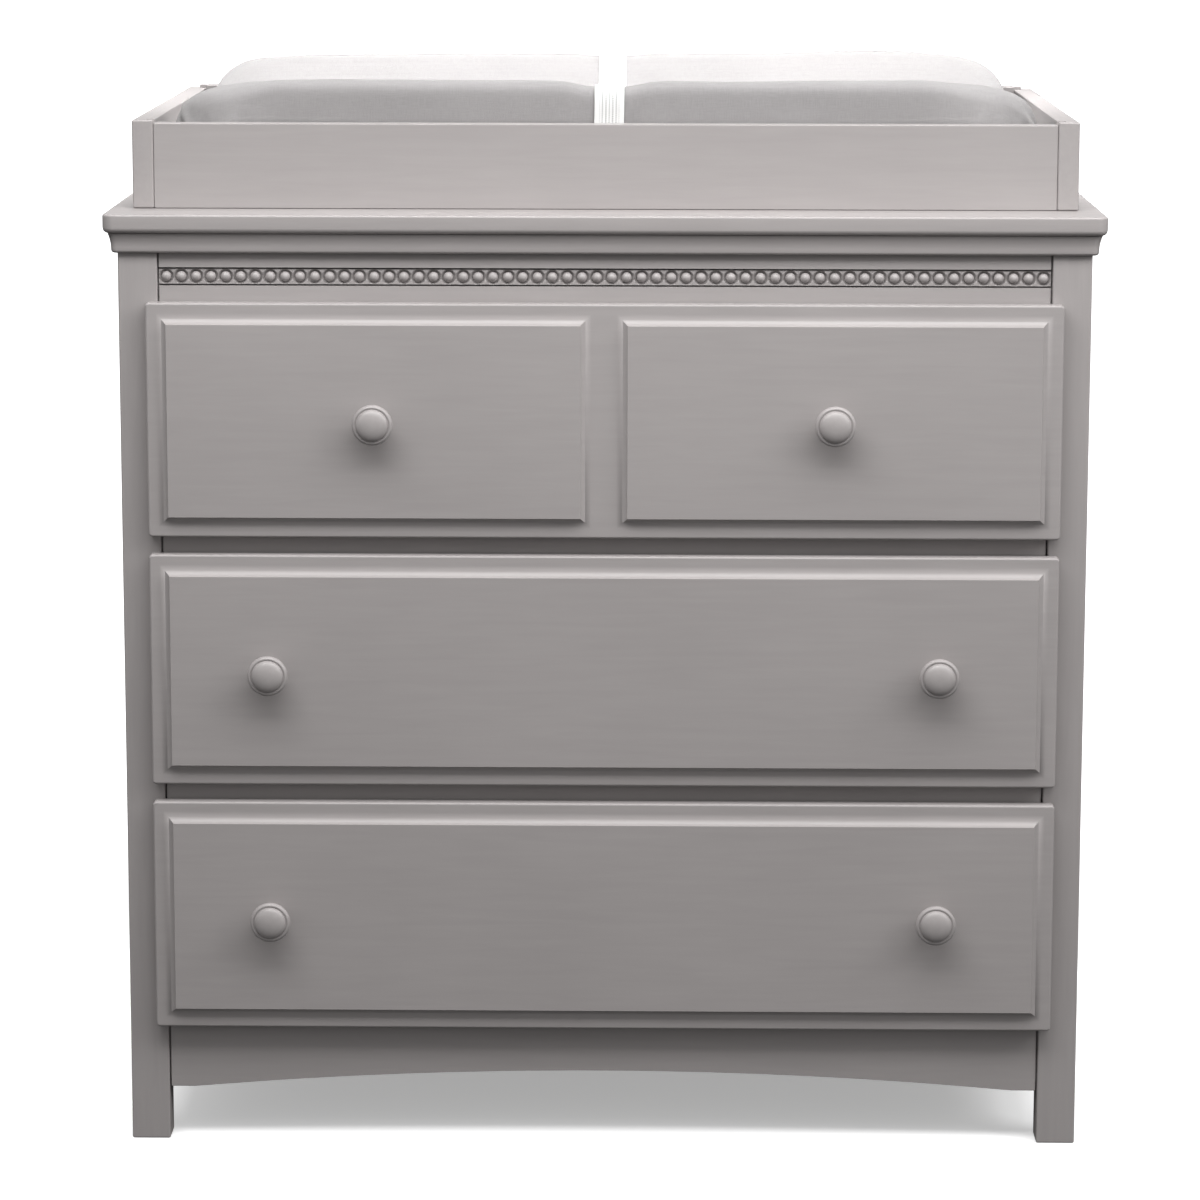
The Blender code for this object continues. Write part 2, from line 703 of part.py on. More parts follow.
def cove_steps():
    """(inset, rise) of each short facet of the cove, from the lip up to the field."""
    widest = math.sin(COVE_END_ANGLE)
    highest = 1 - math.cos(COVE_END_ANGLE)
    steps = []
    before = (0.0, 0.0)
    for i in range(1, COVE_STEPS + 1):
        angle = COVE_END_ANGLE * i / COVE_STEPS
        now = (COVE_WIDTH * math.sin(angle) / widest, COVE_RISE * (1 - math.cos(angle)) / highest)
        steps.append((now[0] - before[0], now[1] - before[1]))
        before = now
    return steps


def field_bounds(fields):
    """Left and right edges of the coved areas, measured from the front's middle."""
    edge = FRONT_WIDTH / 2 - FRONT_LIP_WIDTH
    if fields == 1:
        return [(-edge, edge)]
    return [(-edge, -STILE_WIDTH / 2), (STILE_WIDTH / 2, edge)]


def front_mesh(name, fields):
    """A lipped board with one or two raised fields, each inside a mitred cove."""
    form = bmesh.new()
    size = (FRONT_WIDTH, FRONT_LIP_THICKNESS, FRONT_HEIGHT, 1.0)
    bmesh.ops.create_cube(form, size=1.0, matrix=Matrix.Diagonal(size))
    edge_z = FRONT_HEIGHT / 2 - FRONT_LIP_WIDTH
    cuts = [((0, 0, z), (0, 0, 1)) for z in (-edge_z, edge_z)]
    cuts += [((x, 0, 0), (1, 0, 0)) for pair in field_bounds(fields) for x in pair]
    for point, normal in cuts:
        everything = [*form.verts, *form.edges, *form.faces]
        bmesh.ops.bisect_plane(form, geom=everything, plane_co=point, plane_no=normal)
    for low_x, high_x in field_bounds(fields):
        face = next(
            f for f in form.faces
            if f.normal.y < -0.9 and low_x < f.calc_center_median().x < high_x
            and abs(f.calc_center_median().z) < edge_z
        )
        for inset, rise in cove_steps():
            bmesh.ops.inset_region(form, faces=[face], thickness=inset, depth=0.0, use_even_offset=True)
            bmesh.ops.translate(form, verts=face.verts, vec=(0.0, -rise, 0.0))
    round_front_edges(form)
    mesh = bpy.data.meshes.new(name)
    form.to_mesh(mesh)
    form.free()
    return mesh


def round_front_edges(form):
    """Rounds the four corners, then the rim of the face."""
    limit_x, limit_z = FRONT_WIDTH / 2 - 1e-5, FRONT_HEIGHT / 2 - 1e-5

    def at_corner(vert):
        return abs(vert.co.x) > limit_x and abs(vert.co.z) > limit_z

    corners = [e for e in form.edges if all(at_corner(v) for v in e.verts)]
    bmesh.ops.bevel(form, geom=corners, offset=FRONT_CORNER_RADIUS, segments=4, profile=0.5, affect="EDGES")
    lip = -FRONT_LIP_THICKNESS / 2
    rim = [
        e for e in form.edges
        if all(abs(v.co.y - lip) < 1e-6 for v in e.verts) and any(abs(f.normal.y) < 0.5 for f in e.link_faces)
        and any(f.normal.y < -0.5 for f in e.link_faces)
        and (abs(e.verts[0].co.x) > limit_x - 0.004 or abs(e.verts[0].co.z) > limit_z - 0.004)
    ]
    bmesh.ops.bevel(form, geom=rim, offset=FRONT_EDGE_ROUND, segments=3, profile=0.5, affect="EDGES")


def knob_offsets(fields):
    return (-FIELD_CENTRE, FIELD_CENTRE) if fields == 2 else (-OUTER_KNOB_OFFSET, OUTER_KNOB_OFFSET)


def build_drawer_front(drawer, foot, fields):
    front = add_object(f"{drawer}_drawer_front", front_mesh(f"{drawer}_drawer_front", fields), PAINT)
    front.location = (0.0, FRONT_BACK_PLANE - FRONT_LIP_THICKNESS / 2, foot + FRONT_HEIGHT / 2)
    box_foot = foot + BOX_ABOVE_FRONT_FOOT
    back = FRONT_BACK_PLANE + 0.001
    floor = FRONT_BACK_PLANE - BOX_DADO - JOINT_CLEARANCE
    cuts = []
    for _, side in SIDES:
        near = side * (BOX_HALF_WIDTH - BOX_WALL - JOINT_CLEARANCE)
        edges = sorted((near, side * (BOX_HALF_WIDTH + JOINT_CLEARANCE)))
        cuts.append(
            (
                (edges[0], floor, box_foot - JOINT_CLEARANCE),
                (edges[1], back, box_foot + BOX_HEIGHT + JOINT_CLEARANCE),
            )
        )
    inner = BOX_HALF_WIDTH - BOX_WALL
    bottom = box_foot + BOTTOM_ABOVE_BOX_FOOT
    low, high = span_x(
        bottom - JOINT_CLEARANCE, bottom + BOTTOM_THICKNESS + JOINT_CLEARANCE,
        FRONT_BACK_PLANE - BOTTOM_GROOVE - JOINT_CLEARANCE, back, inner,
    )
    cuts.append((low, high))
    cut_boxes(front, cuts)
    for number, offset in enumerate(knob_offsets(fields)):
        add_boolean(front, spigot_hole(f"{drawer}_spigot_hole_{number + 1}", offset, foot), "DIFFERENCE")


def spigot_hole(name, offset, foot):
    depth = KNOB_SPIGOT_LENGTH + 2 * JOINT_CLEARANCE
    form = bmesh.new()
    radius = KNOB_SPIGOT_RADIUS + JOINT_CLEARANCE
    bmesh.ops.create_cone(
        form, cap_ends=True, segments=16, radius1=radius, radius2=radius, depth=depth + 0.001,
        matrix=Matrix.Rotation(math.pi / 2, 4, "X"),
    )
    mesh = bpy.data.meshes.new(name)
    form.to_mesh(mesh)
    form.free()
    tool = add_tool(name, mesh)
    tool.location = (offset, FIELD_PLANE + depth / 2 - 0.0005, foot + FRONT_HEIGHT / 2)
    return tool


def build_drawer_box(drawer, foot):
    box_foot = foot + BOX_ABOVE_FRONT_FOOT
    head = box_foot + BOX_HEIGHT
    bottom = box_foot + BOTTOM_ABOVE_BOX_FOOT
    back = FRONT_BACK_PLANE + BOX_DEPTH
    inner = BOX_HALF_WIDTH - BOX_WALL
    groove_low = bottom - JOINT_CLEARANCE
    groove_high = bottom + BOTTOM_THICKNESS + JOINT_CLEARANCE
    back_face = back - BOX_WALL
    for name, side in SIDES:
        edges = sorted((side * inner, side * BOX_HALF_WIDTH))
        wall = add_box(
            f"{drawer}_drawer_{name}_side",
            (edges[0], FRONT_BACK_PLANE - BOX_DADO, box_foot), (edges[1], back, head), RAW_WOOD,
        )
        depth = sorted((side * (inner - 0.001), side * (inner + BOTTOM_GROOVE + JOINT_CLEARANCE)))
        dado = sorted((side * (inner - 0.001), side * (inner + BOX_DADO + JOINT_CLEARANCE)))
        cut_boxes(
            wall,
            [
                (
                    (depth[0], FRONT_BACK_PLANE - BOX_DADO - 0.001, groove_low),
                    (depth[1], back_face, groove_high),
                ),
                (
                    (dado[0], back_face - JOINT_CLEARANCE, box_foot - 0.001),
                    (dado[1], back + 0.001, head + 0.001),
                ),
            ],
        )
    rear = add_box(
        f"{drawer}_drawer_back", *span_x(box_foot, head, back_face, back, inner + BOX_DADO), RAW_WOOD
    )
    low, high = span_x(
        groove_low, groove_high, back_face - 0.001, back_face + BOTTOM_GROOVE + JOINT_CLEARANCE, inner
    )
    cut_boxes(rear, [(low, high)])
    low, high = span_x(
        bottom, bottom + BOTTOM_THICKNESS, FRONT_BACK_PLANE - BOTTOM_GROOVE,
        back_face + BOTTOM_GROOVE, inner - TOUCH_GAP,
    )
    panel = add_box(f"{drawer}_drawer_bottom", low, high, RAW_WOOD)
    tongues = []
    for _, side in SIDES:
        edges = sorted((side * (inner - 0.002), side * (inner + BOTTOM_GROOVE)))
        tongues.append(
            (
                (edges[0], FRONT_BACK_PLANE + TOUCH_GAP, bottom),
                (edges[1], back_face - 2 * TOUCH_GAP, bottom + BOTTOM_THICKNESS),
            )
        )
    join_boxes(panel, tongues)


def knob_profile():
    """(radius, height above the field), from the middle of the face down to the spigot's end."""
    top = KNOB_PROJECTION
    dome_radius = KNOB_RADIUS * KNOB_DOME_SHARE
    shoulder = top - KNOB_DOME_RISE
    points = [(0.0, top)]
    for i in range(1, 4):
        angle = math.radians(90 * i / 4)
        points.append((dome_radius * math.sin(angle), shoulder + KNOB_DOME_RISE * math.cos(angle)))
    points.append((dome_radius, shoulder))
    rim = KNOB_RADIUS - KNOB_RIM_ROUND
    for i in range(5):
        angle = math.radians(80 - 40 * i)
        out, up = KNOB_RIM_ROUND * math.cos(angle), KNOB_RIM_ROUND * math.sin(angle)
        points.append((rim + out, shoulder - KNOB_RIM_ROUND + up))
    under = points[-1][1]
    neck = KNOB_STEM_RADIUS / 2
    for i in range(1, 4):
        share = i / 4
        reach = KNOB_STEM_RADIUS + (rim - KNOB_RIM_ROUND / 2 - KNOB_STEM_RADIUS) * (1 - share) ** 2
        points.append((reach, under - (under - neck) * share))
    points += [
        (KNOB_STEM_RADIUS, neck),
        (KNOB_STEM_RADIUS, TOUCH_GAP),
        (KNOB_SPIGOT_RADIUS, TOUCH_GAP),
        (KNOB_SPIGOT_RADIUS, -KNOB_SPIGOT_LENGTH),
        (0.0, -KNOB_SPIGOT_LENGTH),
    ]
    return points


def build_knobs(drawer, foot, fields):
    for (name, _), offset in zip(SIDES, knob_offsets(fields)):
        knob = turned_object(f"{drawer}_drawer_knob_{name}", knob_profile(), KNOB_SEGMENTS, PAINT)
        knob.location = (offset, FIELD_PLANE, foot + FRONT_HEIGHT / 2)
        knob.rotation_euler = (math.pi / 2, 0.0, 0.0)


def build_drawers():
    for index, drawer in enumerate(DRAWER_NAMES):
        fields = 2 if index == 0 else 1
        foot = FRONT_FEET[index]
        build_drawer_front(drawer, foot, fields)
        build_drawer_box(drawer, foot)
        build_knobs(drawer, foot, fields)


# ---- Changing tray ----------------------------------------------------------------------


def tray_end_outline():
    """Plan of the front or back board: straight, with a tongue at each end."""
    half = TRAY_INNER_HALF - TOUCH_GAP
    reach = TRAY_INNER_HALF + TRAY_TONGUE_LENGTH
    face, tongue = TRAY_BOARD / 2, TRAY_TONGUE_THICKNESS / 2
    return [
        (-half, -face), (half, -face), (half, -tongue), (reach, -tongue),
        (reach, tongue), (half, tongue), (half, face), (-half, face),
        (-half, tongue), (-reach, tongue), (-reach, -tongue), (-half, -tongue),
    ]


def build_tray():
    back = TRAY_FRONT + TRAY_DEPTH
    ends = {
        "tray_front_board": (TRAY_FRONT + TRAY_END_SETBACK + TRAY_BOARD / 2, TRAY_FRONT_HEIGHT),
        "tray_back_board": (back - TRAY_END_SETBACK - TRAY_BOARD / 2, TRAY_BACK_HEIGHT),
    }
    for name, (middle, height) in ends.items():
        centre = (0.0, middle, TRAY_FLOOR + height / 2)
        board = add_outline(name, tray_end_outline(), height, centre, "XY", PAINT)
        add_bevel(board, EDGE_ROUND / 2)
    for name, side in SIDES:
        edges = sorted((side * TRAY_INNER_HALF, side * TRAY_WIDTH / 2))
        head = TRAY_FLOOR + TRAY_SIDE_HEIGHT
        low, high = (edges[0], TRAY_FRONT, TRAY_FLOOR), (edges[1], back, head)
        board = add_box(f"tray_{name}_board", low, high, PAINT, EDGE_ROUND)
        reach = TRAY_INNER_HALF + TRAY_TONGUE_LENGTH + JOINT_CLEARANCE
        mouth = sorted((side * (TRAY_INNER_HALF - 0.001), side * reach))
        half = TRAY_TONGUE_THICKNESS / 2 + JOINT_CLEARANCE
        cut_boxes(
            board,
            [
                ((mouth[0], middle - half, TRAY_FLOOR - 0.001), (mouth[1], middle + half, head + 0.005))
                for middle, _ in ends.values()
            ],
        )


# ---- Pad, strap and buckle --------------------------------------------------------------


def crest_side(reach, width, height, power):
    """Height at a distance inside the pad's long edge, where the side rolls up to the crest."""
    share = min(max(1 - reach / width, 0.0), 1.0)
    return height * (1 - share**power) ** (1 / power)


def pad_height(depth):
    """Height of the pad's upper face at a distance behind its front edge, at mid length."""
    from_back = PAD_DEPTH - depth
    if depth <= PAD_CREST_INSET:
        return crest_side(depth, PAD_CREST_INSET, PAD_FRONT_CREST, PAD_SIDE_POWER)
    if from_back <= PAD_CREST_INSET:
        return crest_side(from_back, PAD_CREST_INSET, PAD_REAR_CREST, PAD_SIDE_POWER)
    height = PAD_TROUGH
    for reach, crest in ((depth, PAD_FRONT_CREST), (from_back, PAD_REAR_CREST)):
        share = (reach - PAD_CREST_INSET) / PAD_SLOPE_WIDTH
        if share < 1:
            height = PAD_TROUGH + (crest - PAD_TROUGH) * (0.5 + 0.5 * math.cos(math.pi * share))
    return height


def pad_depths():
    """Where the section is sampled: close together where the sides roll over."""
    roll = [PAD_CREST_INSET * (1 - math.cos(math.radians(90 * i / 7))) for i in range(8)]
    middle = PAD_DEPTH - 2 * PAD_CREST_INSET
    across = [PAD_CREST_INSET + middle * i / 28 for i in range(1, 28)]
    return roll + across + [PAD_DEPTH - depth for depth in reversed(roll)]


def end_share(x):
    """How much of the full height is left towards the pad's two rounded ends."""
    share = (abs(x) - (PAD_HALF_LENGTH - PAD_END_ROUND)) / PAD_END_ROUND
    if share <= 0:
        return 1.0
    return max(1 - share**PAD_END_POWER, 0.0) ** (1 / PAD_END_POWER)


def build_pad():
    """A loft of the same contour along the pad, lowered towards the ends."""
    round_steps = [PAD_END_ROUND * math.sin(math.radians(90 * i / 8)) for i in range(8)]
    start = PAD_HALF_LENGTH - PAD_END_ROUND
    half = [start + step for step in round_steps] + [PAD_HALF_LENGTH * 0.9995]
    stations = [-x for x in reversed(half)] + [start * (i / 3 - 1) for i in range(1, 6)] + half
    form = bmesh.new()
    rings = []
    for x in stations:
        foot = [form.verts.new((x, PAD_FRONT + depth, TRAY_FLOOR)) for depth in (0.0, PAD_DEPTH)]
        upper = []
        for depth in pad_depths():
            height = max(pad_height(depth) * end_share(x), 0.002)
            upper.append(form.verts.new((x, PAD_FRONT + depth, TRAY_FLOOR + height)))
        rings.append([foot[0], *upper, foot[1]])
    for near, far in zip(rings, rings[1:]):
        for i in range(len(near)):
            j = (i + 1) % len(near)
            form.faces.new((near[i], near[j], far[j], far[i]))
    form.faces.new(rings[0])
    form.faces.new(rings[-1])
    bmesh.ops.recalc_face_normals(form, faces=form.faces)
    mesh = bpy.data.meshes.new("changing_pad")
    form.to_mesh(mesh)
    form.free()
    add_object("changing_pad", mesh, PAD_FABRIC)


def offset_point(depth, offset):
    """The point at a distance off the pad's contour, at mid length."""
    before = max(depth - 0.0005, 0.0)
    after = min(depth + 0.0005, PAD_DEPTH)
    slope = Vector((after - before, pad_height(after) - pad_height(before))).normalized()
    return PAD_FRONT + depth - slope.y * offset, TRAY_FLOOR + pad_height(depth) + slope.x * offset


BUCKLE_MIDDLE = PAD_DEPTH / 2


def strap_path(front):
    """The strap rises beside the pad, crosses its crest and ends at the buckle."""
    offset = STRAP_CLEARANCE + STRAP_THICKNESS / 2
    stop = BUCKLE_MIDDLE - BUCKLE_LENGTH - TOUCH_GAP
    roll = [PAD_CREST_INSET * (1 - math.cos(math.radians(90 * i / 16))) for i in range(1, 16)]
    across = [PAD_CREST_INSET + (stop - PAD_CREST_INSET) * i / 20 for i in range(21)]
    depths = roll + across
    edge = -offset
    if not front:
        depths = [PAD_DEPTH - depth for depth in depths]
        edge = PAD_DEPTH + offset
    over = [offset_point(depth, offset) for depth in depths]
    rise = [(PAD_FRONT + edge, TRAY_FLOOR + 0.002), (PAD_FRONT + edge, TRAY_FLOOR + STRAP_TURN_HEIGHT)]
    return rise + over


def build_straps():
    for name, front in (("safety_strap_front", True), ("safety_strap_rear", False)):
        form = bmesh.new()
        path = strap_path(front)
        rows = [
            [form.verts.new((side * STRAP_WIDTH / 2, y, z)) for side in (-1, 1)] for y, z in path
        ]
        for near, far in zip(rows, rows[1:]):
            form.faces.new((near[0], near[1], far[1], far[0]))
        mesh = bpy.data.meshes.new(name)
        form.to_mesh(mesh)
        form.free()
        strap = add_object(name, mesh, STRAP_WEB)
        solidify = strap.modifiers.new("webbing", "SOLIDIFY")
        solidify.thickness = STRAP_THICKNESS
        solidify.offset = 0.0


def build_buckle():
    """A side-release buckle: a socket in front, and a plug whose prong sits in it."""
    middle = PAD_FRONT + BUCKLE_MIDDLE
    low_z = TRAY_FLOOR + PAD_TROUGH + STRAP_CLEARANCE
    high_z = low_z + BUCKLE_THICKNESS
    half = BUCKLE_WIDTH / 2
    socket = add_box(
        "buckle_socket", (-half, middle - BUCKLE_LENGTH, low_z), (half, middle - TOUCH_GAP, high_z),
        BUCKLE_PLASTIC, 0.002,
    )
    prong_half = half - 0.006
    prong_low, prong_high = low_z + 0.0028, high_z - 0.0028
    clearance = 0.0006
    cut_boxes(
        socket,
        [
            (
                (-prong_half - clearance, middle - BUCKLE_PRONG_LENGTH - clearance, prong_low - clearance),
                (prong_half + clearance, middle + 0.001, prong_high + clearance),
            )
        ],
    )
    plug = add_box(
        "buckle_plug", (-half, middle + TOUCH_GAP, low_z), (half, middle + BUCKLE_LENGTH, high_z),
        BUCKLE_PLASTIC, 0.002,
    )
    prong = (
        (-prong_half, middle - BUCKLE_PRONG_LENGTH, prong_low),
        (prong_half, middle + 0.006, prong_high),
    )
    join_boxes(plug, [prong])


# ---- Build ------------------------------------------------------------------------------

build_posts()
build_side_panels()
build_back_panel()
build_rails()
build_bead_strip()
build_top_panel()
build_cornices()
build_slides()
build_drawers()
build_tray()
build_pad()
build_straps()
build_buckle()
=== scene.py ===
"""Looks of a three-drawer dresser in grey satin paint, with its changing tray, pad and strap.

Metres, +Z up, drawers towards -Y. Each operator makes one piece or one group of like pieces
around the frame that is loaded first, and every piece rides on the body it belongs to.
"""

import math

import bmesh
import bpy
from bpy.props import (
    FloatProperty,
    FloatVectorProperty,
    IntProperty,
    PointerProperty,
)
from mathutils import Matrix, Vector, noise
from mathutils.bvhtree import BVHTree


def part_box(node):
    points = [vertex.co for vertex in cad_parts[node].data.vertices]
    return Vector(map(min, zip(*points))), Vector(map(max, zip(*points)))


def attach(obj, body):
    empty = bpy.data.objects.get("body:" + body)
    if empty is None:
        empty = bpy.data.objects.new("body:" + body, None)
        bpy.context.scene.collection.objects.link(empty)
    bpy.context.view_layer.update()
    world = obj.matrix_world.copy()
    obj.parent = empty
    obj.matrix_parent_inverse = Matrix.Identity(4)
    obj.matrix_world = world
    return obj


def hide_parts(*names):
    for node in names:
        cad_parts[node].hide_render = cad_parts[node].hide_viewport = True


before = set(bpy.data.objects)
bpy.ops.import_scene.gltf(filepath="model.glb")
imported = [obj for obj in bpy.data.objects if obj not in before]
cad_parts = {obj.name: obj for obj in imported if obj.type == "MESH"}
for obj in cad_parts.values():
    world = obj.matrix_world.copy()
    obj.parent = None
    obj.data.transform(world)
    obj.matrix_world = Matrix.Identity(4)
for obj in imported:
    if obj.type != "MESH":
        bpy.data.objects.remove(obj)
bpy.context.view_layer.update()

bl_info = {
    "name": "Changing Table",
    "version": (1, 0, 0),
    "blender": (4, 5, 0),
    "location": "3D View > Sidebar > Changing Table",
    "description": "Builds a painted changing table with its drawers, tray, pad and strap",
    "category": "Add Mesh",
}

DRAWERS = ("top", "middle", "bottom")
SIDES = (("left", -1), ("right", 1))
ALONG = {"x": (1.0, 14.0, 14.0), "y": (14.0, 1.0, 14.0), "z": (14.0, 14.0, 1.0)}
NO_GRAIN = (1.0, 1.0, 1.0)


def low(node):
    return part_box(node)[0]


def high(node):
    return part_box(node)[1]


# ---- Settings ---------------------------------------------------------------------------


def a_length(label, description, default):
    return FloatProperty(name=label, description=description, default=default, unit="LENGTH")


def a_power(label, description, default):
    return FloatProperty(name=label, description=description, default=default, unit="POWER")


def a_colour(label, description, default):
    return FloatVectorProperty(
        name=label, description=description, subtype="COLOR", size=3, min=0.0, max=1.0, default=default,
    )


class PaintSettings(bpy.types.PropertyGroup):
    colour: a_colour("Paint colour", "Grey satin paint on the wood", (0.362, 0.338, 0.334))
    roughness: FloatProperty(
        name="Paint roughness", description="Mean roughness of the satin coat",
        min=0.0, max=1.0, default=0.40, subtype="FACTOR",
    )
    edge_round: a_length("Eased edge", "Round sanded on edges that were left sharp", 0.0006)


class DrawerFrontSettings(bpy.types.PropertyGroup):
    lip_width: a_length("Lip width", "Flat border outside the cove", 0.009)
    cove_width: a_length("Cove width", "Width of the hollow moulding", 0.010)
    cove_rise: a_length("Cove rise", "Height of the field above the lip", 0.006)
    cove_end: FloatProperty(
        name="Cove end angle", description="Steepness of the cove where it meets the field",
        default=math.radians(78.0), subtype="ANGLE",
    )
    stile_width: a_length("Stile width", "Flat between the two fields of the top drawer", 0.0224)
    edge_round: a_length("Rim round", "Round on the outer rim of a front", 0.0022)
    corner_round: a_length("Corner round", "Round of a front's four corners", 0.0034)


class KnobSettings(bpy.types.PropertyGroup):
    dome_share: FloatProperty(
        name="Dome share", description="Radius of the dome as a share of the knob's", default=0.78,
    )
    dome_rise: a_length("Dome rise", "Height of the dome over the rim", 0.0052)
    rim_round: a_length("Rim round", "Radius of the rim's round edge", 0.0032)
    stem_radius: a_length("Stem radius", "Radius of the stem at the front", 0.0092)


class BeadSettings(bpy.types.PropertyGroup):
    count: IntProperty(name="Beads", description="Beads along the strip", default=60, min=1)
    radius: a_length("Bead radius", "Radius of a bead", 0.0046)
    proud: a_length("Proud", "How far a bead stands out of the strip", 0.0030)
    socket_depth: a_length("Socket depth", "Depth of the round socket about a bead", 0.0042)


class PadSettings(bpy.types.PropertyGroup):
    colour: a_colour("Cover colour", "Cotton cover of the pad", (0.33, 0.318, 0.318))
    front_crest: a_length("Front crest", "Height of the front bolster", 0.1152)
    rear_crest: a_length("Rear crest", "Height of the rear bolster", 0.1195)
    trough: a_length("Trough", "Thickness of the pad along its middle", 0.046)
    swell: a_length("Swell", "Furthest that the filling pushes the cover out", 0.005)
    tuck_depth: a_length("Tuck depth", "Depth of the folds at the corners", 0.0042)


class StrapSettings(bpy.types.PropertyGroup):
    colour: a_colour("Webbing colour", "White open webbing", (0.86, 0.86, 0.85))
    width: a_length("Strap width", "Width of the strap", 0.027)
    thickness: a_length("Strap thickness", "Thickness of the webbing", 0.0012)


class StageSettings(bpy.types.PropertyGroup):
    floor_colour: a_colour("Floor colour", "Pale studio floor", (0.90, 0.90, 0.90))
    key_power: a_power("Key power", "Power of the wide light above the drawers", 40.0)
    pad_power: a_power("Pad power", "Power of the gridded light over the pad", 3.2)
    side_power: a_power("Side power", "Power of the light at the right", 27.0)


class ChangingTableSettings(bpy.types.PropertyGroup):
    paint: PointerProperty(type=PaintSettings)
    front: PointerProperty(type=DrawerFrontSettings)
    knob: PointerProperty(type=KnobSettings)
    beads: PointerProperty(type=BeadSettings)
    pad: PointerProperty(type=PadSettings)
    strap: PointerProperty(type=StrapSettings)
    stage: PointerProperty(type=StageSettings)


def settings():
    return bpy.context.scene.changing_table


# ---- Node helpers -----------------------------------------------------------------------

FLOAT, WHOLE = "NodeSocketFloat", "NodeSocketInt"
VECTOR, COLOUR = "NodeSocketVector", "NodeSocketColor"
MATERIAL, GEOMETRY = "NodeSocketMaterial", "NodeSocketGeometry"


def put(tree, kind, inputs=None, **attributes):
    """Adds a node; inputs maps a socket's name or number to a value or to another node's output."""
    made = tree.nodes.new(kind)
    for key, value in attributes.items():
        setattr(made, key, value)
    for key, value in (inputs or {}).items():
        feed(tree, made.inputs[key], value)
    return made


def result(tree, kind, inputs=None, **attributes):
    """Adds a node and returns its first output."""
    return put(tree, kind, inputs, **attributes).outputs[0]


def feed(tree, socket, value):
    if isinstance(value, bpy.types.NodeSocket):
        tree.links.new(value, socket)
    else:
        socket.default_value = value


def calc(tree, operation, first, second=0.0, third=0.0, clamp=False):
    inputs = {0: first, 1: second, 2: third}
    return result(tree, "ShaderNodeMath", inputs, operation=operation, use_clamp=clamp)


def times(tree, first, second, clamp=False):
    return calc(tree, "MULTIPLY", first, second, clamp=clamp)


def plus(tree, first, second):
    return calc(tree, "ADD", first, second)


def minus(tree, first, second, clamp=False):
    return calc(tree, "SUBTRACT", first, second, clamp=clamp)


def divided(tree, first, second, clamp=False):
    return calc(tree, "DIVIDE", first, second, clamp=clamp)


def point(tree, x=0.0, y=0.0, z=0.0):
    return result(tree, "ShaderNodeCombineXYZ", {0: x, 1: y, 2: z})


def blend(tree, start, end, share):
    """start + (end - start) * share, for numbers."""
    return calc(tree, "MULTIPLY_ADD", minus(tree, end, start), share, start)


def spread(tree, value, low_out, high_out, low_in=0.0, high_in=1.0, smooth=False):
    kind = "SMOOTHSTEP" if smooth else "LINEAR"
    inputs = {0: value, 1: low_in, 2: high_in, 3: low_out, 4: high_out}
    return result(tree, "ShaderNodeMapRange", inputs, interpolation_type=kind)


def new_tree(name, kind, inputs, outputs):
    """A node group with its sockets; returns it with its input and output nodes."""
    tree = bpy.data.node_groups.new(name, kind)
    for label, socket_type, *default in inputs:
        socket = tree.interface.new_socket(name=label, in_out="INPUT", socket_type=socket_type)
        if default:
            socket.default_value = default[0]
    for label, socket_type in outputs:
        tree.interface.new_socket(name=label, in_out="OUTPUT", socket_type=socket_type)
    return tree, tree.nodes.new("NodeGroupInput").outputs, tree.nodes.new("NodeGroupOutput").inputs


# ---- Effects shared by the materials ----------------------------------------------------


def edge_wear_and_highlight_group():
    """Where a corner is rubbed thin and takes a painted highlight: the rounded normal turns away from the
    flat one.
    """
    tree, given, out = new_tree(
        "edge_wear_and_highlight", "ShaderNodeTree",
        [("Vector", VECTOR), ("Radius", FLOAT, 0.001), ("Amount", FLOAT, 0.5)], [("Mask", FLOAT)],
    )
    rounded = result(tree, "ShaderNodeBevel", {"Radius": given["Radius"]}, samples=4)
    flat = put(tree, "ShaderNodeNewGeometry").outputs["Normal"]
    facing = put(tree, "ShaderNodeVectorMath", {0: rounded, 1: flat}, operation="DOT_PRODUCT")
    turned = spread(tree, facing.outputs["Value"], 1.0, 0.0, 0.80, 0.995)
    patches = put(tree, "ShaderNodeTexNoise", {"Vector": given["Vector"], "Scale": 60.0, "Detail": 3.0})
    broken = spread(tree, patches.outputs[0], 0.35, 1.0, 0.35, 0.65)
    # Rounded edges made lighter: partly wear, partly a painted highlight.
    worn_and_highlit = times(tree, turned, broken)
    tree.links.new(times(tree, worn_and_highlit, given["Amount"], clamp=True), out["Mask"])
    return tree


def grain_group():
    """Wood grain: long streaks, and short pores along them."""
    tree, given, out = new_tree(
        "wood_grain", "ShaderNodeTree",
        [("Vector", VECTOR), ("Stretch", VECTOR, (1.0, 14.0, 14.0)), ("Scale", FLOAT, 12.0)],
        [("Streaks", FLOAT), ("Pores", FLOAT)],
    )
    drawn = put(tree, "ShaderNodeVectorMath", {0: given["Vector"], 1: given["Stretch"]}, operation="MULTIPLY")
    across = drawn.outputs[0]
    broad = {"Vector": across, "Scale": given["Scale"], "Detail": 5.0, "Roughness": 0.55, "Distortion": 0.6}
    bands = put(tree, "ShaderNodeTexNoise", broad)
    short = {"Vector": across, "Scale": times(tree, given["Scale"], 5.5), "Detail": 2.0, "Roughness": 0.7}
    pores = put(tree, "ShaderNodeTexNoise", short)
    tree.links.new(bands.outputs[0], out["Streaks"])
    tree.links.new(spread(tree, pores.outputs[0], 0.0, 1.0, 0.36, 0.62), out["Pores"])
    return tree


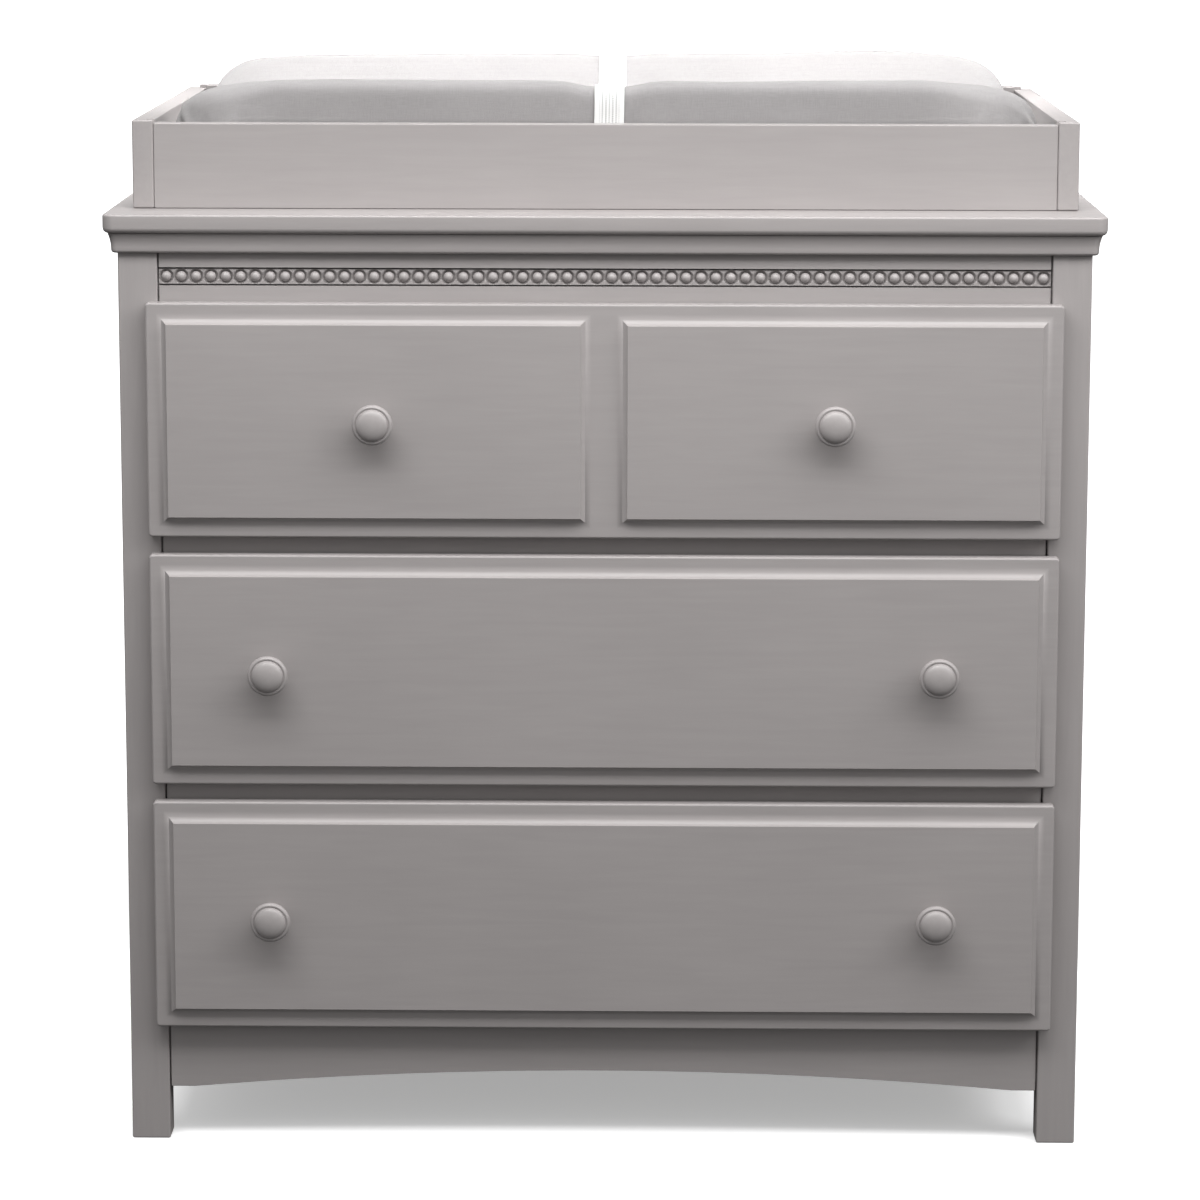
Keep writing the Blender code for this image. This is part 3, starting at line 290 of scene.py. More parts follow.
def mottle_group():
    """Slow changes of tone over a surface."""
    tree, given, out = new_tree(
        "mottle", "ShaderNodeTree",
        [("Vector", VECTOR), ("Scale", FLOAT, 8.0), ("Low", FLOAT, 0.0), ("High", FLOAT, 1.0)],
        [("Tone", FLOAT)],
    )
    clouds = put(
        tree, "ShaderNodeTexNoise",
        {"Vector": given["Vector"], "Scale": given["Scale"], "Detail": 4.0, "Roughness": 0.5},
    )
    tree.links.new(spread(tree, clouds.outputs[0], given["Low"], given["High"], 0.3, 0.7), out["Tone"])
    return tree


def weave_group():
    """Plain weave on a flat pair of coordinates in metres: rounded threads over and under."""
    tree, given, out = new_tree(
        "plain_weave", "ShaderNodeTree",
        [("Vector", VECTOR), ("Spacing", FLOAT, 0.0006)], [("Height", FLOAT), ("Slub", FLOAT)],
    )
    parts = put(tree, "ShaderNodeSeparateXYZ", {0: given["Vector"]}).outputs
    across = divided(tree, parts[0], given["Spacing"])
    along = divided(tree, parts[1], given["Spacing"])
    ridges = []
    for value in (across, along):
        wave = calc(tree, "SINE", times(tree, value, math.pi))
        ridges.append(calc(tree, "ABSOLUTE", wave))
    count = plus(tree, calc(tree, "FLOOR", across), calc(tree, "FLOOR", along))
    parity = calc(tree, "PINGPONG", count, 1.0)
    top = blend(tree, ridges[0], ridges[1], parity)
    height = times(tree, top, plus(tree, times(tree, ridges[0], ridges[1]), 0.6))
    tree.links.new(height, out["Height"])
    slubs = []
    for stretch in ((90.0, 1400.0, 1.0), (1400.0, 90.0, 1.0)):
        drawn = put(tree, "ShaderNodeVectorMath", {0: given["Vector"], 1: stretch}, operation="MULTIPLY")
        thread = put(tree, "ShaderNodeTexNoise", {"Vector": drawn.outputs[0], "Scale": 1.0, "Detail": 2.0})
        slubs.append(thread.outputs[0])
    mean = times(tree, plus(tree, slubs[0], slubs[1]), 0.5)
    tree.links.new(spread(tree, mean, 0.0, 1.0, 0.38, 0.62), out["Slub"])
    return tree


EFFECTS = {
    "edge_wear_and_highlight": edge_wear_and_highlight_group,
    "wood_grain": grain_group,
    "mottle": mottle_group,
    "plain_weave": weave_group,
}


def effect(tree, name, inputs):
    """Places one of the shared effects in a material."""
    group = bpy.data.node_groups.get(name) or EFFECTS[name]()
    made = put(tree, "ShaderNodeGroup", node_tree=group)
    for key, value in inputs.items():
        feed(tree, made.inputs[key], value)
    return made.outputs


def tone_of(tree, place, scale, low_tone, high_tone):
    """Slow light and dark clouds between two factors."""
    inputs = {"Vector": place, "Scale": scale, "Low": low_tone, "High": high_tone}
    return effect(tree, "mottle", inputs)["Tone"]


def wear_and_highlight_of(tree, place, radius, amount):
    """Where the finish is rubbed on the corners, and where they take a painted highlight."""
    return effect(tree, "edge_wear_and_highlight", {"Vector": place, "Radius": radius, "Amount": amount})["Mask"]


def grain_of(tree, place, stretch, scale):
    return effect(tree, "wood_grain", {"Vector": place, "Stretch": stretch, "Scale": scale})


# ---- Materials --------------------------------------------------------------------------


def new_material(name):
    material = bpy.data.materials.new(name)
    material.use_nodes = True
    tree = material.node_tree
    shader = tree.nodes["Principled BSDF"]
    coords = tree.nodes.new("ShaderNodeTexCoord").outputs
    return material, tree, shader.inputs, coords


def scaled(tree, colour, factor):
    made = put(tree, "ShaderNodeVectorMath", {0: colour}, operation="SCALE")
    feed(tree, made.inputs["Scale"], factor)
    return made.outputs[0]


def toned(tree, colour, factor):
    """A fixed colour multiplied by a number that changes over the surface."""
    return scaled(tree, tuple(colour)[:3], factor)


def mixed(tree, share, first, second):
    made = put(tree, "ShaderNodeMix", data_type="RGBA")
    feed(tree, made.inputs[0], share)
    for number, value in ((6, first), (7, second)):
        feed(tree, made.inputs[number], value if isinstance(value, bpy.types.NodeSocket) else (*value, 1.0))
    return made.outputs[2]


def rub_and_highlight_edges(tree, shader, wear_and_highlight, share, finish, edge_colour):
    """Colours the piece with its finish, and with a lighter colour on the edges: what lies under it where
    rubbed, and a painted highlight.
    """
    feed(tree, shader["Base Color"], mixed(tree, times(tree, wear_and_highlight, share), finish, edge_colour))


def bump(tree, shader, height, distance, strength=1.0):
    made = put(tree, "ShaderNodeBump", {"Strength": strength, "Distance": distance, "Height": height})
    tree.links.new(made.outputs[0], shader["Normal"])


def material_of(name, maker, *values):
    return bpy.data.materials.get(name) or maker(name, *values)


def make_paint(name, stretch):
    """Sprayed satin paint over close-grained wood, a little thin on the edges, which are also lighter as a
    painted highlight.
    """
    material, tree, shader, coords = new_material(name)
    paint = settings().paint
    place = coords["Object"]
    grain = grain_of(tree, place, stretch, 11.0)
    tone = tone_of(tree, place, 5.0, 0.975, 1.025)
    wear_and_highlight = wear_and_highlight_of(tree, place, 0.0014, 0.5)
    streaked = times(tree, tone, spread(tree, grain["Streaks"], 0.975, 1.025, 0.3, 0.7))
    base = toned(tree, paint.colour, streaked)
    # Lighter edges: paint rubbed thin, and a painted highlight.
    rub_and_highlight_edges(tree, shader, wear_and_highlight, 0.35, base, (0.50, 0.485, 0.47))
    rough = spread(tree, grain["Streaks"], paint.roughness - 0.05, paint.roughness + 0.06, 0.3, 0.7)
    feed(tree, shader["Roughness"], plus(tree, rough, times(tree, wear_and_highlight, 0.08)))
    peel = result(tree, "ShaderNodeTexNoise", {"Vector": place, "Scale": 620.0, "Detail": 2.0})
    relief = calc(tree, "MULTIPLY_ADD", grain["Pores"], 0.5, peel)
    bump(tree, shader, relief, 0.00005, 0.5)
    return material


def paint_along(axis):
    return material_of(f"grey_paint_{axis}", make_paint, ALONG[axis])


def make_drawer_wood(name, stretch):
    """Pale clear-lacquered wood of the drawer boxes."""
    material, tree, shader, coords = new_material(name)
    place = coords["Object"]
    grain = grain_of(tree, place, stretch, 9.0)
    tone = tone_of(tree, place, 4.0, 0.92, 1.06)
    wear_and_highlight = wear_and_highlight_of(tree, place, 0.001, 0.6)
    bands = spread(tree, grain["Streaks"], 0.0, 1.0, 0.35, 0.66)
    wood = mixed(tree, bands, (0.70, 0.57, 0.40), (0.52, 0.385, 0.24))
    pored = mixed(tree, times(tree, grain["Pores"], 0.22), wood, (0.30, 0.20, 0.12))
    shaded = scaled(tree, pored, tone)
    # Lighter edges: wear, and a painted highlight.
    rub_and_highlight_edges(tree, shader, wear_and_highlight, 0.3, shaded, (0.76, 0.65, 0.5))
    feed(tree, shader["Roughness"], spread(tree, grain["Streaks"], 0.48, 0.66, 0.3, 0.7))
    bump(tree, shader, calc(tree, "MULTIPLY_ADD", grain["Pores"], -0.6, grain["Streaks"]), 0.00018, 0.5)
    return material


def wood_along(axis):
    return material_of(f"drawer_wood_{axis}", make_drawer_wood, ALONG[axis])


def make_back_board(name):
    """Grey-faced hardboard: pressed fibre under a thin coat."""
    material, tree, shader, coords = new_material(name)
    place = coords["Object"]
    fibre = result(tree, "ShaderNodeTexNoise", {"Vector": place, "Scale": 420.0, "Detail": 5.0})
    tone = tone_of(tree, place, 14.0, 0.94, 1.05)
    speck = times(tree, tone, spread(tree, fibre, 0.94, 1.05, 0.35, 0.65))
    feed(tree, shader["Base Color"], toned(tree, (0.44, 0.42, 0.40), speck))
    feed(tree, shader["Roughness"], spread(tree, fibre, 0.58, 0.76, 0.3, 0.7))
    bump(tree, shader, fibre, 0.00012, 0.5)
    return material


def make_steel(name, colour, stretch):
    """Zinc-plated steel, rolled along its length."""
    material, tree, shader, coords = new_material(name)
    place = coords["Object"]
    grain = grain_of(tree, place, stretch, 60.0)
    tone = tone_of(tree, place, 40.0, 0.93, 1.04)
    wear_and_highlight = wear_and_highlight_of(tree, place, 0.0006, 0.8)
    rolled = times(tree, tone, spread(tree, grain["Streaks"], 0.93, 1.05, 0.3, 0.7))
    plated = toned(tree, colour, rolled)
    # Lighter edges: wear, and a painted highlight.
    rub_and_highlight_edges(tree, shader, wear_and_highlight, 0.3, plated, (0.80, 0.81, 0.82))
    feed(tree, shader["Roughness"], spread(tree, grain["Streaks"], 0.26, 0.44, 0.3, 0.7))
    shader["Metallic"].default_value = 1.0
    bump(tree, shader, grain["Streaks"], 0.00004, 0.6)
    return material


def steel():
    return material_of("plated_steel", make_steel, (0.60, 0.61, 0.62), ALONG["y"])


def screw_steel():
    return material_of("screw_steel", make_steel, (0.52, 0.52, 0.53), NO_GRAIN)


def make_cover(name):
    """Soft plain-woven cotton with a faint nap; the weave's hollows are painted darker as painted shade."""
    material, tree, shader, coords = new_material(name)
    threads = result(tree, "ShaderNodeUVMap", uv_map="cover_threads")
    weave = effect(tree, "plain_weave", {"Vector": threads, "Spacing": 0.00055})
    tone = tone_of(tree, coords["Object"], 11.0, 0.965, 1.03)
    lit = times(tree, tone, spread(tree, weave["Slub"], 0.94, 1.05))
    # Lower threads of the weave are painted darker: painted shade.
    lit = times(tree, lit, spread(tree, weave["Height"], 0.90, 1.03))
    feed(tree, shader["Base Color"], toned(tree, settings().pad.colour, lit))
    feed(tree, shader["Roughness"], spread(tree, weave["Slub"], 0.84, 0.95))
    shader["Sheen Weight"].default_value = 0.25
    shader["Sheen Roughness"].default_value = 0.45
    shader["Specular IOR Level"].default_value = 0.2
    relief = calc(tree, "MULTIPLY_ADD", weave["Slub"], 0.8, weave["Height"])
    bump(tree, shader, relief, 0.00022, 0.6)
    return material


def make_webbing(name):
    """White open webbing: the mask holds the small gaps between its yarns, which are painted near black as
    painted shade.
    """
    material, tree, shader, coords = new_material(name)
    gaps = put(tree, "ShaderNodeAttribute", attribute_name="gap").outputs["Fac"]
    threads = result(tree, "ShaderNodeUVMap", uv_map="yarns")
    weave = effect(tree, "plain_weave", {"Vector": threads, "Spacing": 0.0009})
    tone = tone_of(tree, coords["Object"], 60.0, 0.95, 1.02)
    # Hollows of the weave are painted darker: painted shade.
    lit = times(tree, tone, spread(tree, weave["Height"], 0.88, 1.02))
    yarn = toned(tree, settings().strap.colour, lit)
    # Near-black in the gaps: painted shade where the weave is open.
    feed(tree, shader["Base Color"], mixed(tree, gaps, yarn, (0.16, 0.155, 0.155)))
    feed(tree, shader["Roughness"], spread(tree, weave["Slub"], 0.62, 0.82))
    shader["Sheen Weight"].default_value = 0.15
    bump(tree, shader, weave["Height"], 0.00025, 0.7)
    return material


def webbing():
    return material_of("open_webbing", make_webbing)


def make_thread(name, colour):
    material, tree, shader, coords = new_material(name)
    tone = tone_of(tree, coords["Object"], 900.0, 0.85, 1.05)
    feed(tree, shader["Base Color"], toned(tree, colour, tone))
    feed(tree, shader["Roughness"], spread(tree, tone, 0.5, 0.7, 0.85, 1.05))
    return material


def make_buckle_plastic(name):
    """Satin moulded plastic with a fine spark-eroded texture."""
    material, tree, shader, coords = new_material(name)
    place = coords["Object"]
    grains = result(tree, "ShaderNodeTexNoise", {"Vector": place, "Scale": 2600.0, "Detail": 2.0})
    tone = tone_of(tree, place, 50.0, 0.97, 1.02)
    wear_and_highlight = wear_and_highlight_of(tree, place, 0.0007, 0.6)
    moulded = toned(tree, (0.74, 0.74, 0.73), tone)
    # Lighter edges: wear, and a painted highlight.
    rub_and_highlight_edges(tree, shader, wear_and_highlight, 0.35, moulded, (0.86, 0.86, 0.86))
    feed(tree, shader["Roughness"], spread(tree, grains, 0.34, 0.46, 0.3, 0.7))
    bump(tree, shader, grains, 0.00004, 0.5)
    return material


def plastic():
    return material_of("moulded_plastic", make_buckle_plastic)


# Strength of the floor's painted glow: SHADE_UNDER near the dresser, a painted shadow, rising to SHADE_OPEN
# between SHADE_START and SHADE_END metres away.
SHADE_UNDER, SHADE_OPEN = 0.36, 1.1
SHADE_START, SHADE_END = 0.58, 1.2


def make_floor_painted_glow(name):
    """Pale floor that glows, a painted light: dimmer near the dresser as a painted shadow, brighter away from
    it; it throws back less light than it shows, as a floor does under flagged lights.
    """
    material, tree, shader, coords = new_material(name)
    place = coords["Object"]
    tone = tone_of(tree, place, 1.5, 0.985, 1.01)
    finish = toned(tree, settings().stage.floor_colour, tone)
    feed(tree, shader["Base Color"], finish)
    shader["Roughness"].default_value = 0.9
    shader["Specular IOR Level"].default_value = 0.1
    # The glow is painted light; its dip near the dresser is a painted shadow.
    away = put(tree, "ShaderNodeVectorMath", {0: place}, operation="LENGTH").outputs["Value"]
    glow = spread(tree, away, SHADE_UNDER, SHADE_OPEN, SHADE_START, SHADE_END, True)
    feed(tree, shader["Emission Color"], toned(tree, (1.0, 1.0, 1.0), glow))
    shader["Emission Strength"].default_value = 1.0
    dull = put(tree, "ShaderNodeBsdfDiffuse", {"Color": (0.08, 0.08, 0.08, 1.0)})
    rays = put(tree, "ShaderNodeLightPath")
    pick = put(tree, "ShaderNodeMixShader", {0: rays.outputs["Is Camera Ray"], 1: dull.outputs[0]})
    tree.links.new(tree.nodes["Principled BSDF"].outputs[0], pick.inputs[2])
    tree.links.new(pick.outputs[0], tree.nodes["Material Output"].inputs["Surface"])
    return material


# ---- Mesh helpers -----------------------------------------------------------------------


def link_object(name, data):
    made = bpy.data.objects.new(name, data)
    bpy.context.scene.collection.objects.link(made)
    return made


def add_piece(name, mesh, *materials):
    piece = link_object(name, mesh)
    mesh.materials.clear()
    for material in materials:
        mesh.materials.append(material)
    return piece


def mesh_from(name, form):
    mesh = bpy.data.meshes.new(name)
    form.to_mesh(mesh)
    form.free()
    return mesh


def skin(form, rings):
    """Faces between each closed ring of points and the next."""
    for near, far in zip(rings, rings[1:]):
        for i in range(len(near)):
            j = (i + 1) % len(near)
            form.faces.new((near[i], near[j], far[j], far[i]))


def settle(piece):
    """Makes the piece's modifiers part of its mesh."""
    depsgraph = bpy.context.evaluated_depsgraph_get()
    mesh = bpy.data.meshes.new_from_object(
        piece.evaluated_get(depsgraph), preserve_all_data_layers=True, depsgraph=depsgraph
    )
    if not any(mesh.materials):
        mesh.materials.clear()
        for material in piece.data.materials:
            mesh.materials.append(material)
    piece.modifiers.clear()
    mesh.name = piece.name
    piece.data = mesh
    return mesh


def add_bevel(piece, width, angle, segments=2):
    bevel = piece.modifiers.new("eased_edges", "BEVEL")
    bevel.width = width
    bevel.segments = segments
    bevel.limit_method = "ANGLE"
    bevel.angle_limit = math.radians(angle)
    return bevel


def smooth_hard(piece, sharp=32.0):
    """Smooth shading that keeps large flats flat and true corners crisp."""
    mesh = piece.data
    mesh.shade_smooth()
    mesh.set_sharp_from_angle(angle=math.radians(sharp))
    weighted = piece.modifiers.new("even_normals", "WEIGHTED_NORMAL")
    weighted.keep_sharp = True
    weighted.weight = 90
    settle(piece)


def joined_copy(node):
    """A welded copy of a frame node's mesh, with its flat faces whole."""
    form = bmesh.new()
    form.from_mesh(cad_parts[node].data)
    bmesh.ops.remove_doubles(form, verts=form.verts, dist=0.000004)
    bmesh.ops.dissolve_limit(form, angle_limit=math.radians(0.4), verts=form.verts, edges=form.edges)
    return form


def stand_for(piece, body, slot, *nodes):
    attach(piece, body)
    if nodes:
        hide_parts(*nodes)


def refine(node, body, slot, material, easing=0.0, angle=60.0, sharp=32.0):
    """Stands in for a board or bar of the frame: same shape, eased edges and even shading."""
    piece = add_piece(f"{node}_finished", mesh_from(node, joined_copy(node)), material)
    if easing:
        add_bevel(piece, easing, angle)
        settle(piece)
    smooth_hard(piece, sharp)
    stand_for(piece, body, slot, node)
    return piece


# ---- Geometry node trees ----------------------------------------------------------------


def finish_tree(tree, out, geometry, material):
    real = result(tree, "GeometryNodeRealizeInstances", {0: geometry})
    tree.links.new(dress(tree, real, material), out["Geometry"])


def join(tree, *geometries):
    made = tree.nodes.new("GeometryNodeJoinGeometry")
    for geometry in reversed(geometries):
        tree.links.new(geometry, made.inputs[0])
    return made.outputs[0]


def position_parts(tree):
    """The x, y and z of each point."""
    return put(tree, "ShaderNodeSeparateXYZ", {0: result(tree, "GeometryNodeInputPosition")}).outputs


def dress(tree, geometry, material):
    return result(tree, "GeometryNodeSetMaterial", {"Geometry": geometry, "Material": material})


def place_points(tree, geometry, position):
    inputs = {"Geometry": geometry, "Position": position}
    return result(tree, "GeometryNodeSetPosition", inputs)


def grown(name, tree, values, mesh=None):
    """Runs a tree on a mesh and returns the plain mesh it makes; values maps input names to values."""
    holder = link_object(name, mesh or bpy.data.meshes.new(name))
    modifier = holder.modifiers.new(name, "NODES")
    modifier.node_group = tree
    for item in tree.interface.items_tree:
        if item.in_out == "INPUT" and item.name in values:
            modifier[item.identifier] = values[item.name]
    holder.update_tag()
    made = settle(holder)
    bpy.data.objects.remove(holder, do_unlink=True)
    made.name = name
    return made


def coved_cell_tree():
    """One raised field with its cove, and its share of the lip, rim and back.

    The rows run from the back of the rim, over the lip and up the cove; each row has four corners."""
    tree, given, out = new_tree(
        "coved_cell", "GeometryNodeTree",
        [
            ("Left", FLOAT), ("Right", FLOAT), ("Foot", FLOAT), ("Head", FLOAT),
            ("Left Margin", FLOAT), ("Right Margin", FLOAT), ("Margin", FLOAT),
            ("Back", FLOAT), ("Lip", FLOAT), ("Field", FLOAT),
            ("Cove Width", FLOAT), ("Cove End", FLOAT), ("Rows", WHOLE, 24),
        ],
        [("Geometry", GEOMETRY)],
    )
    rows = plus(tree, given["Rows"], 3.0)
    ring = result(tree, "GeometryNodeMeshGrid", {"Vertices X": 5, "Vertices Y": rows})
    index = result(tree, "GeometryNodeInputIndex")
    corner = calc(tree, "FLOOR", divided(tree, plus(tree, index, 0.5), rows))
    row = minus(tree, index, times(tree, corner, rows))
    at_right = calc(tree, "LESS_THAN", calc(tree, "ABSOLUTE", minus(tree, corner, 1.5)), 1.0)
    at_head = calc(tree, "LESS_THAN", calc(tree, "ABSOLUTE", minus(tree, corner, 2.5)), 1.0)
    inside = minus(tree, row, 1.0, clamp=True)
    share = divided(tree, minus(tree, row, 2.0), given["Rows"], clamp=True)
    angle = times(tree, share, given["Cove End"])
    reach = divided(tree, calc(tree, "SINE", angle), calc(tree, "SINE", given["Cove End"]))
    run = times(tree, reach, given["Cove Width"])
    fall = minus(tree, 1.0, calc(tree, "COSINE", angle))
    whole = minus(tree, 1.0, calc(tree, "COSINE", given["Cove End"]))
    rise = divided(tree, fall, whole)

    def edge(limit, margin, sign, full):
        """Where the ring's edge is: the limit, moved in by the margin and the cove's run."""
        moved = full and plus(tree, margin, given["Cove Width"])
        moved = moved or calc(tree, "MULTIPLY_ADD", margin, inside, run)
        return calc(tree, "MULTIPLY_ADD", moved, sign, limit)

    def corners(full):
        return (
            edge(given["Left"], given["Left Margin"], 1.0, full),
            edge(given["Right"], given["Right Margin"], -1.0, full),
            edge(given["Foot"], given["Margin"], 1.0, full),
            edge(given["Head"], given["Margin"], -1.0, full),
        )

    left, right, foot, head = corners(False)
    front = blend(tree, given["Lip"], given["Field"], rise)
    depth = blend(tree, given["Back"], front, calc(tree, "MINIMUM", row, 1.0))
    ring = place_points(
        tree, ring, point(tree, blend(tree, left, right, at_right), depth, blend(tree, foot, head, at_head))
    )
    flats = []
    column = calc(tree, "FLOOR", times(tree, plus(tree, index, 0.5), 0.5))
    level = minus(tree, index, times(tree, column, 2.0))
    outer = (given["Left"], given["Right"], given["Foot"], given["Head"])
    for bounds, plane in ((corners(True), given["Field"]), (outer, given["Back"])):
        flat = result(tree, "GeometryNodeMeshGrid", {"Vertices X": 2, "Vertices Y": 2})
        across, up = blend(tree, bounds[0], bounds[1], column), blend(tree, bounds[2], bounds[3], level)
        flats.append(place_points(tree, flat, point(tree, across, plane, up)))
    whole_cell = join(tree, ring, *flats)
    merged = result(tree, "GeometryNodeMergeByDistance", {"Geometry": whole_cell, "Distance": 0.000002})
    tree.links.new(merged, out["Geometry"])
    return tree


def drawer_front_tree(fields):
    """A drawer front of one or two coved cells, about x = 0."""
    tree, given, out = new_tree(
        f"drawer_front_{fields}", "GeometryNodeTree",
        [
            ("Geometry", GEOMETRY), ("Width", FLOAT), ("Foot", FLOAT), ("Head", FLOAT),
            ("Back", FLOAT), ("Lip", FLOAT), ("Field", FLOAT), ("Lip Width", FLOAT), ("Stile", FLOAT),
            ("Cove Width", FLOAT), ("Cove End", FLOAT), ("Rows", WHOLE, 24), ("Material", MATERIAL),
        ],
        [("Geometry", GEOMETRY)],
    )
    group = bpy.data.node_groups.get("coved_cell") or coved_cell_tree()
    half = times(tree, given["Width"], 0.5)
    near = times(tree, given["Width"], -0.5)
    stile = times(tree, given["Stile"], 0.5)
    lip = given["Lip Width"]
    spans = [(near, half, lip, lip)] if fields == 1 else [(near, 0.0, lip, stile), (0.0, half, stile, lip)]
    cells = []
    for left, right, left_margin, right_margin in spans:
        cell = put(tree, "GeometryNodeGroup", node_tree=group)
        values = {
            "Left": left, "Right": right, "Left Margin": left_margin, "Right Margin": right_margin,
            "Margin": lip, **{key: given[key] for key in (
                "Foot", "Head", "Back", "Lip", "Field", "Cove Width", "Cove End", "Rows")},
        }
        for key, value in values.items():
            feed(tree, cell.inputs[key], value)
        cells.append(cell.outputs[0])
    front = join(tree, *cells)
    if fields == 2:
        place = position_parts(tree)
        shared = calc(tree, "LESS_THAN", calc(tree, "ABSOLUTE", place[0]), 0.000001)
        front = result(
            tree, "GeometryNodeDeleteGeometry", {"Geometry": front, "Selection": shared}, domain="FACE"
        )
        front = result(tree, "GeometryNodeMergeByDistance", {"Geometry": front, "Distance": 0.000002})
    finish_tree(tree, out, front, given["Material"])
    return tree


def beaded_strip_tree():
    """A strip with a row of round sockets, and a bead in each."""
    tree, given, out = new_tree(
        "beaded_strip", "GeometryNodeTree",
        [
            ("Geometry", GEOMETRY), ("Length", FLOAT), ("Height", FLOAT), ("Thickness", FLOAT),
            ("Face", FLOAT), ("Middle", FLOAT), ("Count", WHOLE, 60), ("Bead Radius", FLOAT),
            ("Proud", FLOAT), ("Socket Radius", FLOAT), ("Socket Depth", FLOAT), ("Gap", FLOAT, 0.0009),
            ("Material", MATERIAL),
        ],
        [("Geometry", GEOMETRY)],
    )
    pitch = divided(tree, given["Length"], given["Count"])
    columns = calc(tree, "MULTIPLY_ADD", given["Count"], 20.0, 1.0)
    bar = result(
        tree, "GeometryNodeMeshCube",
        {
            "Size": point(tree, given["Length"], given["Thickness"], given["Height"]),
            "Vertices X": columns, "Vertices Y": 2, "Vertices Z": 25,
        },
    )
    place = position_parts(tree)
    shifted = plus(tree, place[0], times(tree, given["Length"], 0.5))
    along = minus(tree, calc(tree, "FRACT", divided(tree, shifted, pitch)), 0.5)
    flat = point(tree, times(tree, along, pitch), 0.0, place[2])
    away = put(tree, "ShaderNodeVectorMath", {0: flat}, operation="LENGTH").outputs["Value"]
    sunk = divided(tree, away, given["Socket Radius"], clamp=True)
    bowl = calc(tree, "SQRT", minus(tree, 1.0, times(tree, sunk, sunk), clamp=True))
    on_face = calc(tree, "LESS_THAN", place[1], 0.0)
    from_middle = calc(tree, "ABSOLUTE", place[2])
    gap_edge = minus(tree, times(tree, given["Height"], 0.5), given["Gap"])
    into_gap = minus(tree, from_middle, gap_edge)
    gap = calc(tree, "GREATER_THAN", into_gap, -0.00001)
    deepest = calc(tree, "MAXIMUM", bowl, times(tree, gap, 1.15))
    dip = times(tree, times(tree, deepest, given["Socket Depth"]), on_face)
    centre = calc(tree, "MULTIPLY_ADD", given["Thickness"], 0.5, given["Face"])
    moved = point(tree, place[0], plus(tree, plus(tree, place[1], dip), centre),
                  plus(tree, place[2], given["Middle"]))
    strip = place_points(tree, bar, moved)
    sunk_to = minus(tree, given["Bead Radius"], given["Proud"])
    first = times(tree, minus(tree, pitch, given["Length"]), 0.5)
    row = result(
        tree, "GeometryNodeMeshLine",
        {
            "Count": given["Count"],
            "Start Location": point(tree, first, plus(tree, given["Face"], sunk_to), given["Middle"]),
            "Offset": point(tree, pitch, 0.0, 0.0),
        },
        mode="OFFSET",
    )
    bead = result(
        tree, "GeometryNodeMeshUVSphere", {"Segments": 14, "Rings": 9, "Radius": given["Bead Radius"]}
    )
    beads = result(tree, "GeometryNodeInstanceOnPoints", {"Points": row, "Instance": bead})
    finish_tree(tree, out, join(tree, strip, beads), given["Material"])
    return tree


def screw_row_tree():
    """Pan-head screws at the points of a mesh, all facing one way, with a crossed recess drawn as a
    near-black cross: painted shade, not a hollow.
    """
    tree, given, out = new_tree(
        "screw_row", "GeometryNodeTree",
        [
            ("Geometry", GEOMETRY), ("Facing", VECTOR, (0.0, 1.0, 0.0)), ("Head Radius", FLOAT, 0.0035),
            ("Head Height", FLOAT, 0.0016), ("Head Material", MATERIAL), ("Recess Material", MATERIAL),
            ("Material", MATERIAL), ("Seed", WHOLE, 7),
        ],
        [("Geometry", GEOMETRY)],
    )
    head = result(
        tree, "GeometryNodeMeshCone",
        {
            "Vertices": 20, "Side Segments": 4, "Fill Segments": 1, "Depth": given["Head Height"],
            "Radius Top": times(tree, given["Head Radius"], 0.62), "Radius Bottom": given["Head Radius"],
        },
        fill_type="NGON",
    )
    place = position_parts(tree)
    up = divided(tree, place[2], given["Head Height"])
    bulge = calc(tree, "MULTIPLY_ADD", times(tree, up, minus(tree, 1.0, up)), 0.9, 1.0)
    rounded = place_points(
        tree, head, point(tree, times(tree, place[0], bulge), times(tree, place[1], bulge), place[2])
    )
    rounded = dress(tree, rounded, given["Head Material"])
    # The recess is two near-black bars on the head: painted shade where a hollow would be.
    long, thin = times(tree, given["Head Radius"], 0.95), times(tree, given["Head Radius"], 0.2)
    deep = times(tree, given["Head Height"], 0.2)
    bars = []
    for size in (point(tree, long, thin, deep), point(tree, thin, long, deep)):
        bars.append(result(tree, "GeometryNodeMeshCube", {"Size": size}))
    raised = point(tree, 0.0, 0.0, times(tree, given["Head Height"], 0.93))
    recess = result(tree, "GeometryNodeTransform", {"Geometry": join(tree, *bars), "Translation": raised})
    recess = dress(tree, recess, given["Recess Material"])
    half_turn = {2: 0.0, 3: 3.14, "Seed": given["Seed"]}
    spin = put(tree, "FunctionNodeRandomValue", half_turn, data_type="FLOAT").outputs[1]
    facing = result(tree, "FunctionNodeAlignRotationToVector", {"Vector": given["Facing"]}, axis="Z")
    turn = result(tree, "FunctionNodeAxisAngleToRotation", {"Axis": (0.0, 0.0, 1.0), "Angle": spin})
    turned = result(tree, "FunctionNodeRotateRotation", {0: facing, 1: turn}, rotation_space="LOCAL")
    points = result(tree, "GeometryNodeMeshToPoints", {0: given["Geometry"]})
    row = result(
        tree, "GeometryNodeInstanceOnPoints",
        {"Points": points, "Instance": join(tree, rounded, recess), "Rotation": turned},
    )
    real = result(tree, "GeometryNodeRealizeInstances", {0: row})
    kept = {"Geometry": real, "Selection": False, "Material": given["Material"]}
    tree.links.new(result(tree, "GeometryNodeSetMaterial", kept), out["Geometry"])
    return tree


